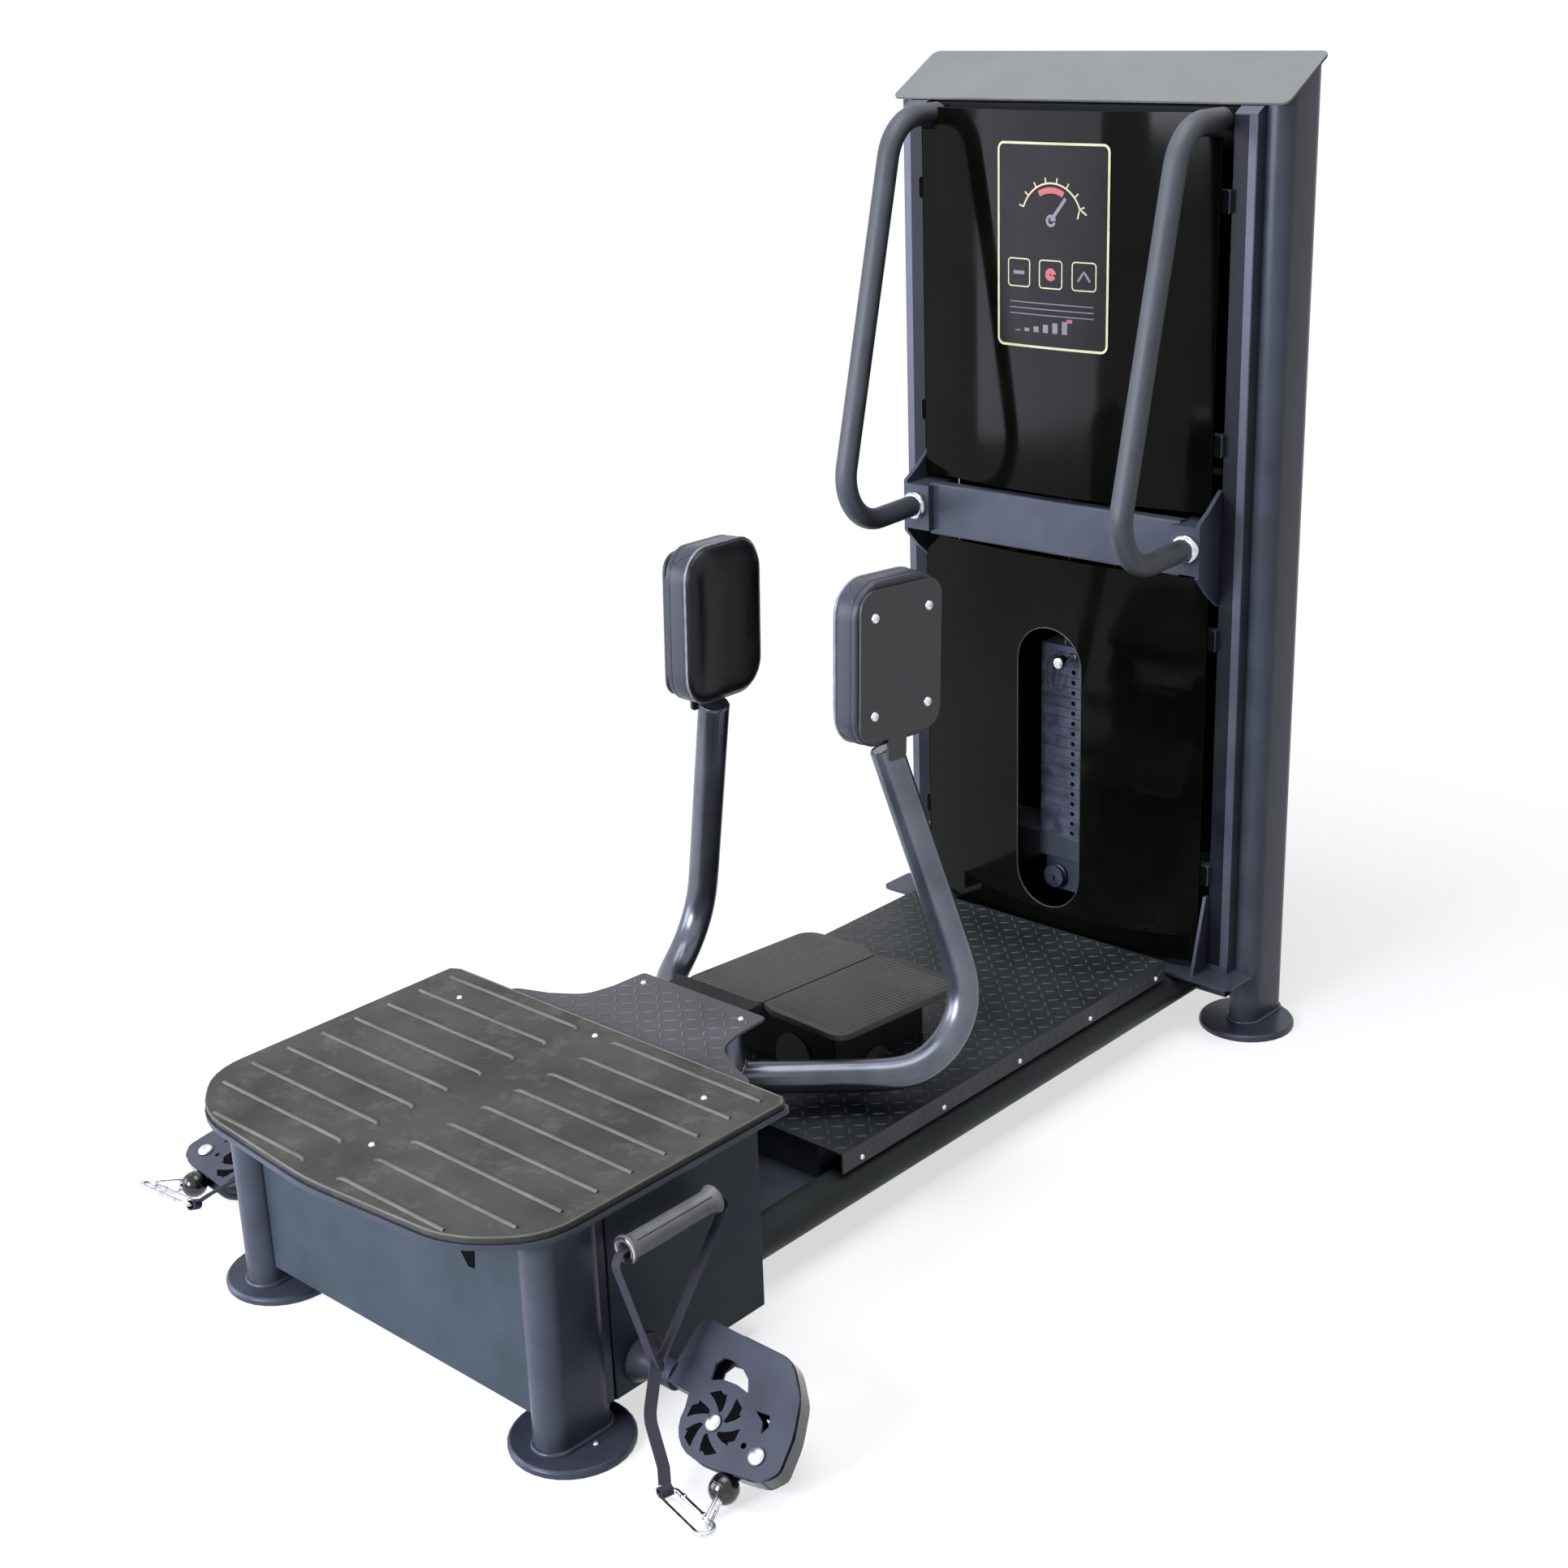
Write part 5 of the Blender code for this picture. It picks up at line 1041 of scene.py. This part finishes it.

# %% [markdown]
# ### Ribbed standing mat
# The mat has nine raised ribs on each half, with a bare aisle between the feet, and each rib ends in a
# small hook at the aisle. A rib is a round bead sunk to half its depth, and the bead tree draws all
# eighteen from their centre lines. The mat's moulded edge stands a little proud. Ribs and edge are
# painted pale as a painted highlight on their raised tops.

# %% Mat ribs
MAT_TOP, MAT_HALF, MAT_FRONT = 0.358, 0.364, -0.9473
RIB_START, RIB_PITCH, RIB_REACH, RIB_MARGIN = -0.408, 0.0636, 0.340, 0.026
MAT_STATIONS = [(MAT_FRONT, 0.0), (-0.940, 0.14), (-0.925, 0.265), (-0.89, 0.325), (-0.84, 0.356),
                (-0.79, MAT_HALF), (-0.3, MAT_HALF)]
rib_lines = []
for y in (RIB_START - RIB_PITCH * k for k in range(9)):
    reach = min(RIB_REACH, width_at(MAT_STATIONS, y) - RIB_MARGIN)
    for way in (1, -1):
        rib_lines.append([(way * x, y - back, MAT_TOP - sunk) for x, back, sunk in (
            (reach, 0, 0.0008), (0.048, 0, 0.0008), (0.041, 0.002, 0.0010), (0.038, 0.007, 0.0016))])
bead("mat_ribs", rib_lines, rib_rubber_painted_highlight, "frame", "mat_rubber", Radius=0.0036, Step=0.004, Sides=10)
# The edge bead takes the ribs' pale rubber, a painted highlight along the mat's raised edge.
half_edge = [(MAT_HALF, -0.379), (MAT_HALF, -0.845), (0.270, -0.9253), (0.0, MAT_FRONT)]
mat_edge = [(x, y, MAT_TOP - 0.0010) for x, y in half_edge + [(-x, y) for x, y in half_edge[-2::-1]]]
bead("mat_edge", [rounded(mat_edge, [0.012, 0.110, 0.150, 0.4, 0.150, 0.110, 0.012], 6, True)],
     rib_rubber_painted_highlight, "frame", "mat_rubber", True, Radius=0.0019, Step=0.02, Sides=10)
print(len(rib_lines), "ribs")

# %% [markdown]
# ### Ribbed foot plates
# The foot plates slope away from the middle and to the rear, and fine ribs cross them. The slope is
# the same rule as the CAD's, so each rib's line is lifted from it.


# %% Foot plate ribs
def foot_top(x, y):
    """The height of the foot plates' upper face."""
    return 0.264 - abs(x) * 0.0395 - (y - 0.105) * 0.0659


TREAD_START, TREAD_PITCH, TREAD_COUNT, TREAD_GAP, TREAD_REACH = -0.034, 0.0093, 31, 0.010, 0.166
tread_lines = []
for y in (TREAD_START + TREAD_PITCH * k for k in range(TREAD_COUNT)):
    inner = TREAD_GAP + max(y - 0.23, 0) * 0.9
    for way in (1, -1):
        tread_lines.append([(way * x, y, foot_top(x, y) - 0.0004) for x in (inner, 0.09, TREAD_REACH)])
bead("foot_plate_ribs", tread_lines, foot_rubber, "frame", "foot_rubber", Radius=0.0014, Step=0.02,
     Sides=6)
print(len(tread_lines), "tread ribs")

# %% [markdown]
# ### Tower trims
# A dark, glossy strip covers most of each rail's face as painted shade, and a pale face and edge bead
# next to the post are a painted highlight. The rail's top ends in a sloped plate under the cap in the
# same pale coat, the clips that hold the panels are matte black as painted shade in the recess by the
# panel's edge, and round beads fill the corners where the ovals are welded to their discs. A folded
# filler closes the hollow between each front leg's round nose and the box's side plate. A matte black
# sheet on the box's front under the platform's edge is painted shade for a cut-out for a hand, and two
# rounded lugs stand on the deck against the foot plates' bracket.

# %% Tower trims
SLOPE = math.tan(math.radians(30))
RAIL_TOP, RAIL_FOOT, RAIL_FACE = 1.6269, 0.128, 0.8022
STRIP_X, EDGE_X = (0.3206, 0.3468), (0.3472, 0.3612)
STRIP_HIGH = RAIL_TOP - 0.0120
OVAL_HALF, DISC_TOP = 0.030, 0.0128


def stadium(x, y, z, lift):
    """The outline of an oval tube at a height, moved outwards by lift."""
    spots = [(polar(OVAL_HALF + lift, t), OVAL_HALF if t < 180 else -OVAL_HALF)
             for t in (*range(0, 181, 12), *range(180, 360, 12))]
    return [(x + u, y + straight + v, z) for (u, v), straight in spots]


# The dark strip is painted shade, and the pale face and edge bead are a painted highlight.
strip = slab(rect(*STRIP_X, RAIL_FOOT, STRIP_HIGH), RAIL_FACE - 0.0005, RAIL_FACE + 0.0006, "Y")
face = slab(rect(*EDGE_X, RAIL_FOOT, STRIP_HIGH), RAIL_FACE - 0.0001, RAIL_FACE + 0.0007, "Y")
front, rear = [(y, RAIL_TOP + (y - 0.8215) * SLOPE) for y in (RAIL_FACE, 0.8208)]
lid = slab([front, rear, (rear[0], rear[1] + 0.0016), (front[0], front[1] + 0.0016)],
           0.3205, 0.3625, "X")
# The clips are matte black as painted shade in the recess by the panel's edge.
clips = joined([slab(corners(0.2885, 0.3198, z - 0.0185, z + 0.0185, 0.004), 0.7908, 0.7922, "Y")
                for z in (0.300, 0.740, 1.080, 1.480)])
filler = slab([(0.3518, -0.7345), (0.3512, -0.7480), (0.3480, -0.7560), (0.3380, -0.7440),
               (0.3300, -0.7350)], 0.044, 0.336)
pair("rail_strip_", strip, rail_painted_shade_coat, "frame", "powder_coat")
bead_pair("rail_edge_", [[(0.3605, 0.8042, z) for z in (0.130, RAIL_TOP - 0.0130)]], rail_painted_highlight_coat,
          "frame", "powder_coat", Radius=0.0022, Step=0.2, Sides=12)
pair("rail_face_", face, rail_painted_highlight_coat, "frame", "powder_coat")
pair("rail_lid_", lid, rail_painted_highlight_coat, "frame", "powder_coat")
pair("panel_clips_", clips, matte_black, "frame", "dark_steel")
for name, x, y, radius in (("post_weld_", 0.371, 0.889, 0.0042), ("leg_weld_", 0.324, -0.790, 0.0045)):
    bead_pair(name, [stadium(x, y, DISC_TOP, 0.0006)], foot_coat, "frame", "powder_coat", True,
              Radius=radius, Ripple=0.10, Ripple_Length=0.005, Step=0.0016)
for side, flip in SIDES:
    settle(as_piece("leg_box_filler_" + side, moved(filler.copy(), flip), frame_coat), "frame",
           "box_coat", "front_box")
# A matte black sheet on the box's front is painted shade standing for a cut-out.
cut_out = slab([(0.140, 0.285), (0.196, 0.285), (0.190, 0.232), (0.178, 0.231)],
               -0.8262, -0.8251, "Y")
settle(as_piece("box_front_cut_out", cut_out, matte_black), "frame", "dark_steel")
lug = [polar(0.037, t) for t in range(0, 181, 10)]
front_lug = slab([(0.028 + u, 0.1727 + v) for u, v in lug] + [(-0.009, 0.1512), (0.065, 0.1512)],
                 -0.0036, -0.0006, "Y")
side_lug = slab([(0.096 + u, 0.139 + v) for u, v in lug if v > 0.0122], 0.1206, 0.1236, "X")
settle(as_piece("bracket_lugs", joined([front_lug, side_lug]), foot_rubber), "frame", "dark_steel")
print("tower trims set")

# %% [markdown]
# ### Placard
# A printed sheet follows the bow of the panel. A cream line with round corners frames it, and inside
# are plain signs of my own: a swing arc with its ticks, a row of steps and three rounded tiles. Each
# ink is a skin 0.2 mm thick, cut as narrow ribbons and bent to the panel.

# %% Placard print
PRINT_Y, SLOT_Y, SLOT_RADIUS = 0.74915, 0.7508, 0.0706
FRAME_Z, DIAL_Z, DIAL, TILE_X, TILE_Z, TILE_HALF = 1.3955, 1.440, 0.062, 0.068, 1.350, 0.0235


def bow(x):
    """How far the panel curves back at a distance from its middle."""
    return x * x / 2.6


def ribbon(points, width, closed=False):
    """A flat strip of ink along a line drawn in X and Z, on the bowed face of the placard."""
    line = evened([Vector((u, 0, v)) for u, v in points], 0.008, closed)
    section = [(0, -width / 2), (0, width / 2), (0.0002, width / 2), (0.0002, -width / 2)]
    mesh = swept(rings_along(line, section, (0, -1, 0), closed), closed)
    for v in mesh.vertices:
        v.co.y += PRINT_Y + bow(v.co.x)
    return mesh


def arc(u, v, radius, start, end, step=20):
    count = max(2, round(abs(end - start) / step))
    return [polar(radius, start + (end - start) * k / count, u, v) for k in range(count + 1)]


def frame_of(u, v, half_u, half_v, radius):
    return corners(u - half_u, u + half_u, v - half_v, v + half_v, radius, 18)


prints = {
    "cream": [ribbon(frame_of(0, FRAME_Z, 0.1140, 0.1710, 0.0115), 0.0042, True),
              ribbon(arc(0, DIAL_Z, DIAL, 20, 160, 5), 0.0030)]
             + [ribbon([polar(r, t, 0, DIAL_Z) for r in (DIAL, 0.072)], 0.0026)
                for t in range(20, 161, 20)]
             + [ribbon([(0.072, 1.452), (0.0583, 1.4612), (0.054, 1.445)], 0.0030)]
             + [ribbon(frame_of(u, TILE_Z, TILE_HALF, TILE_HALF, 0.006), 0.0022, True)
                for u in (-TILE_X, 0, TILE_X)],
    "grey": [ribbon([(-0.088, z), (0.088, z)], 0.0016) for z in (1.300, 1.290, 1.280)]
            + [ribbon([(x, 1.250), (x, 1.252 + 0.2 * (x + 0.070))], 0.0110)
               for x in (-0.070 + 0.020 * k for k in range(6))]
            + [ribbon([(TILE_X - 0.012, 1.342), (TILE_X, 1.358), (TILE_X + 0.012, 1.342)], 0.0040),
               ribbon([(-TILE_X - 0.012, TILE_Z), (-TILE_X + 0.012, TILE_Z)], 0.0060),
               ribbon([(0, DIAL_Z), (0.030, 1.478)], 0.0060),
               ribbon(arc(0, DIAL_Z, 0.008, 0, 340), 0.0050)],
    "coral": [ribbon(arc(0, TILE_Z, 0.0065, 0, 340), 0.0090),
              ribbon([(0.040, 1.270), (0.040, 1.2761)], 0.0110),
              ribbon(arc(0, DIAL_Z, 0.0505, 60, 120, 6), 0.0100)]}
for ink, skins in prints.items():
    name = "screen_ink_" + ink
    settle(as_piece("placard_" + name, joined(skins), inks[name]), "frame", "placard_face")
slot_line = ([polar(SLOT_RADIUS, t, 0, 0.650) for t in range(0, 181, 9)]
             + [polar(SLOT_RADIUS, t, 0, 0.244) for t in range(180, 361, 9)])
bead("slot_edge", [[(x, SLOT_Y + bow(x), z) for x, z in slot_line]], gilt, "frame",
     "black_acrylic", True, Radius=0.0013, Step=0.004, Sides=8)
print("placard printed")

# %% [markdown]
# ### Hand straps and pulleys
# A strap is flat webbing 18 mm wide: a loop through the grip, a bound joint and a tail down to the snap
# hook. The same route as in the CAD is skinned here with thin rounded edges and its own weave map. The
# ball, its wire link, the hook and the grip are turned or bent shapes with their real seams.


# %% Swivel frames
def swivel_at(degrees):
    """The frame of a pulley housing, whose X points out of the spigot's axis at that swivel."""
    down, out = polar(1, degrees)
    return (Matrix.Translation((0.3523, -0.6785, 0.0845))
            @ Matrix.Rotation(math.atan2(-down, -out), 4, "X"))


def obround(start, end, half_width, side, step=15):
    """Points round a loop with straight sides and half-circle ends."""
    ahead = (end - start).normalized()
    side = (side - side.dot(ahead) * ahead).normalized()
    made = []
    for centre, first in ((end - ahead * half_width, -90), (start + ahead * half_width, 90)):
        for k in range(int(180 / step) + 1):
            along, sideways = polar(half_width, first + step * k)
            made.append(centre + ahead * along + side * sideways)
    return made


def wire(points, radius, across, closed=True):
    return swept(rings_along(points, ring(radius, 12), across, closed), closed)


UP = Vector((0, 0, 1))
right_swivel, left_swivel = swivel_at(52), swivel_at(75)
# What hangs on the right pulley swings to the left one's angle before it is mirrored.
PULLEYS = [(side, flip @ swivel) for (side, flip), swivel in zip(SIDES, (right_swivel, left_swivel))]
HUNG = [(side, place @ right_swivel.inverted()) for side, place in PULLEYS]

# %% Ball, link and hook
BALL, HOOK_HALF, HOOK_LONG = 0.021, 0.013, 0.107
ball_at = right_swivel @ Vector((0.2244, 0.0999, 0))
groove_at = right_swivel @ Vector((0.2117, 0.037, 0))
link_far = Vector((0.6000, -0.815, 0.0130))
link_dir = (link_far - ball_at).normalized()
hook_along = Vector((-0.97, 0.24, -0.018)).normalized()
hook_side = UP.cross(hook_along).normalized()
hook_side = hook_side if hook_side.y > 0 else -hook_side
hook_near = link_far - link_dir * 0.0080 - hook_side * HOOK_HALF - hook_along * 0.022
hook_far = hook_near + hook_along * HOOK_LONG
half_ball = [polar(BALL, t)[::-1] for t in range(12, 84, 8)] + [(0.0209, 0.0012), (0.0205, 0.0006)]
ball_profile = [(0, BALL)] + half_ball + [(r, -z) for r, z in reversed(half_ball)] + [(0, -BALL)]
ball = moved(lathe(ball_profile), facing(right_swivel.to_3x3() @ Vector((0, 1, 0)), ball_at))
stub = wire([groove_at.lerp(ball_at, share) for share in (0.334, 0.85)], 0.0025, UP, False)
link = wire(obround(ball_at + link_dir * 0.017, link_far, 0.0095, UP), 0.0024, link_dir.cross(UP))
ferrule = moved(lathe([(0, 0), (0.0060, 0), (0.0064, 0.0006), (0.0064, 0.0060), (0.0052, 0.0068),
                       (0, 0.0068)], 20), facing(link_dir, ball_at + link_dir * 0.0185))
hook_wire = wire(obround(hook_near, hook_far, HOOK_HALF, hook_side), 0.0035,
                 hook_along.cross(hook_side))
gate_ends = [moved(lathe([(0, 0), (0.0043, 0), (0.0046, 0.0006), (0.0046, 0.0066), (0.0043, 0.0072),
                          (0, 0.0072)], 16),
                   facing(hook_along, hook_near + hook_along * along + hook_side * HOOK_HALF))
             for along in (0.030, 0.078)]

# %% Strap and grip
WEB = [(0.009, 0.0004), (0.0086, 0.0008), (-0.0086, 0.0008), (-0.009, 0.0004),
       (-0.009, -0.0004), (-0.0086, -0.0008), (0.0086, -0.0008), (0.009, -0.0004)]
join = Vector((0.430, -0.726, 0.130))
grip_middle = Vector((0.389, -0.6475, 0.292))
GRIP_HALF = 0.084
grip_front, grip_rear = [grip_middle + Vector((0, y, 0)) for y in (-GRIP_HALF, GRIP_HALF)]
loop_path = rounded([join + Vector((0.0, -0.002, -0.004)), grip_front + Vector((0.004, -0.022, -0.012)),
                     grip_front + Vector((0.0, -0.010, 0.0)), grip_rear + Vector((0.0, 0.010, 0.0)),
                     grip_rear + Vector((0.004, 0.020, -0.014)), join + Vector((0.002, 0.006, 0.004))],
                    [0, 0.010, 0.006, 0.006, 0.010, 0], 10)
strap_up = (join - hook_far).normalized()
tail_path = rounded([hook_far + strap_up * 0.0074, hook_far + strap_up * 0.030,
                     join + Vector((0.022, -0.039, -0.050)), join + Vector((0.0, 0.002, 0.010))],
                    [0, 0.02, 0.06, 0])
eye = moved(lathe([(0.0083, 0.009), (0.0083, -0.009), (0.0066, -0.009), (0.0066, 0.009)], 24),
            facing(hook_side, hook_far))
binding = [join + strap_up * k + Vector((0, 0.001, 0.001)) for k in (-0.010, -0.005, 0.0, 0.004)]
strap = joined([swept(rings_along(loop_path, WEB, (1, 0, 0))),
                swept(rings_along(tail_path, WEB, hook_side)), eye,
                swept(rings_along(binding, [(u * 1.06, v * 3.4) for u, v in WEB], hook_side))])
flange = [(0.0205, GRIP_HALF), (0.0211, 0.083), (0.0211, 0.080), (0.0190, 0.0765), (0.0170, 0.071),
          (0.0168, 0.030)]
grip_bore = [(0.0115, -GRIP_HALF), (0.0095, -0.080), (0.0095, 0.080), (0.0115, GRIP_HALF)]
grip_shape = flange + [(0.0170, 0.0)] + [(r, -z) for r, z in reversed(flange)] + grip_bore
grip = moved(lathe(grip_shape, 36), facing((0, 1, 0), grip_middle))
parting = [grip_middle + Vector((0.0108, y, 0.0130)) for y in (-0.070, 0.070)]
lip = [grip_middle + Vector((u, -0.0838, v)) for u, v in ring(0.0172, 32)]

# %% Pulley details
SHEAVE_AT = (0.169, 0.035)
REAR_BOLT_AT = (0.255, 0.047)
HALF_THICK = 0.0188
# The outline of one vane of the sheave, as distances and angles from its middle.
VANE = [(0.0150, 10), (0.0220, -8), (0.0320, -22), (0.0430, -32), (0.0440, -10), (0.0375, 2),
        (0.0280, 12), (0.0200, 18)]
dome = lathe([(0, 0.0062), (0.0050, 0.0056), (0.0092, 0.0036), (0.0115, 0.0014), (0.0122, 0.0),
              (0, 0)], 24)
domes = [((*at, way * HALF_THICK), (0, 0, way), 1.0) for at in (SHEAVE_AT, REAR_BOLT_AT)
         for way in (-1, 1)]
vanes = joined([slab([polar(r, a + 60 * k + 20, *SHEAVE_AT) for r, a in VANE], -0.01655, -0.01605)
                for k in range(6)])
rim = rounded([(0.140, -0.0838, 0), (0.228, -0.0838, 0), (0.2688, -0.0444, 0), (0.2893, 0.005, 0),
               (0.2968, 0.052, 0), (0.2795, 0.0738, 0), (0.235, 0.0808, 0)],
              [0, 0.0505, 0.1005, 0.015, 0.0205, 0.050, 0], 8)
rim_section = [(0.0118, -0.0004), (0.0118, 0.0010), (-0.0118, 0.0010), (-0.0118, -0.0004)]
pair("cable_ball_", ball, ball_nylon, "cable_end_", "ball_plastic", "cable_end_", places=HUNG)
pair("cable_link_", joined([stub, link, ferrule]), chrome, "cable_end_", "chrome", angle=50,
     places=HUNG)
pair("snap_hook_", joined([hook_wire] + gate_ends), chrome, "carabiner_", "chrome", "carabiner_",
     angle=50, places=HUNG)
pair("strap_web_", strap, webbing, "hand_strap_", "webbing", "hand_strap_", angle=40, places=HUNG)
pair("grip_roller_", grip, handle_rubber, "strap_grip_", "grip_rubber", "strap_grip_", angle=40,
     places=HUNG)
bead_pair("grip_parting_", [parting], bracket_coat, "strap_grip_", "grip_rubber", places=HUNG,
          Radius=0.0006, Step=0.02, Sides=6)
bead_pair("grip_lip_", [lip], chrome, "strap_grip_", "chrome", True, HUNG, Radius=0.0016, Step=0.002)
stud_pair("pulley_bolts_", dome, domes, zinc, "pulley_housing_", "chrome", PULLEYS)
pair("pulley_vanes_", vanes, matte_black, "pulley_housing_", "dark_steel", places=PULLEYS)
pair("pulley_rim_", swept(rings_along(rim, rim_section, UP)), ball_nylon, "pulley_housing_",
     "dark_steel", places=PULLEYS)
print("straps and pulleys dressed")

# %% [markdown]
# ### Pin lanyard
# A limp cord hangs in a loop from the selector pin, so that the pin can't be lost. It leaves the pin's
# ring, drops under its own weight and comes back to the pin.

# %% Pin lanyard
PIN_Z, CORD_WIDE = 0.646, 0.0032
lanyard = rounded([(x, y, PIN_Z + dz) for x, y, dz in (
    (-0.0052, 0.806, 0.0049), (-0.022, 0.806, 0.014), (-0.045, 0.810, -0.006), (-0.047, 0.812, -0.056),
    (-0.034, 0.810, -0.080), (-0.018, 0.806, -0.046), (-0.0115, 0.803, -0.006))],
    [0, 0.010, 0.012, 0.012, 0.012, 0.012, 0], 10)
lanyard_cord = settle(as_piece("lanyard_cord", wire(lanyard, CORD_WIDE / 2, (0, 1, 0), False), webbing),
                      body_of(nodes["pin_lanyard"])[0], "webbing", "pin_lanyard")

# %% [markdown]
# ### Screws and bolts
# Button-head screws hold the mat, the deck and the pads. One turned head with a small socket serves
# all of them, at three sizes, and the stud tree sets it on each place.

# %% Screws
screw_head = lathe([(0, 0.0016), (0.0016, 0.0016), (0.0019, 0.0030), (0.0034, 0.0026),
                    (0.0046, 0.0014), (0.0050, 0.0), (0, 0)], 14)
top_screws = [((*at, height), UP, size) for at, height, size in (
    ((0.267, -0.450), MAT_TOP, 1.0), ((-0.267, -0.450), MAT_TOP, 1.0), ((0, -0.834), MAT_TOP, 1.0),
    ((0, -0.41), MAT_TOP, 1.0), ((0.107, -0.203), NECK_TOP, 1.0), ((-0.107, -0.203), NECK_TOP, 1.0),
    ((0.368, -0.788), 0.0122, 0.8), ((-0.368, -0.788), 0.0122, 0.8))]
studs("platform_screws", screw_head, top_screws, zinc, "frame", "chrome")
side_screws = [((way * SKIRT_X, -0.129 + 0.205 * k, 0.126), (way, 0, 0), 0.95)
               for k in range(5) for way in (1, -1)]
studs("deck_screws", screw_head, side_screws, zinc, "frame", "chrome")
bolts = [((0.0051, y, z), (1, 0, 0), 1.6) for y in (-0.0585, 0.0585) for z in (-0.0765, 0.0765)]
stud_pair("pad_bolts_", screw_head, bolts, zinc, "pad_", "chrome", PAD_PLACES)
print("screws set")
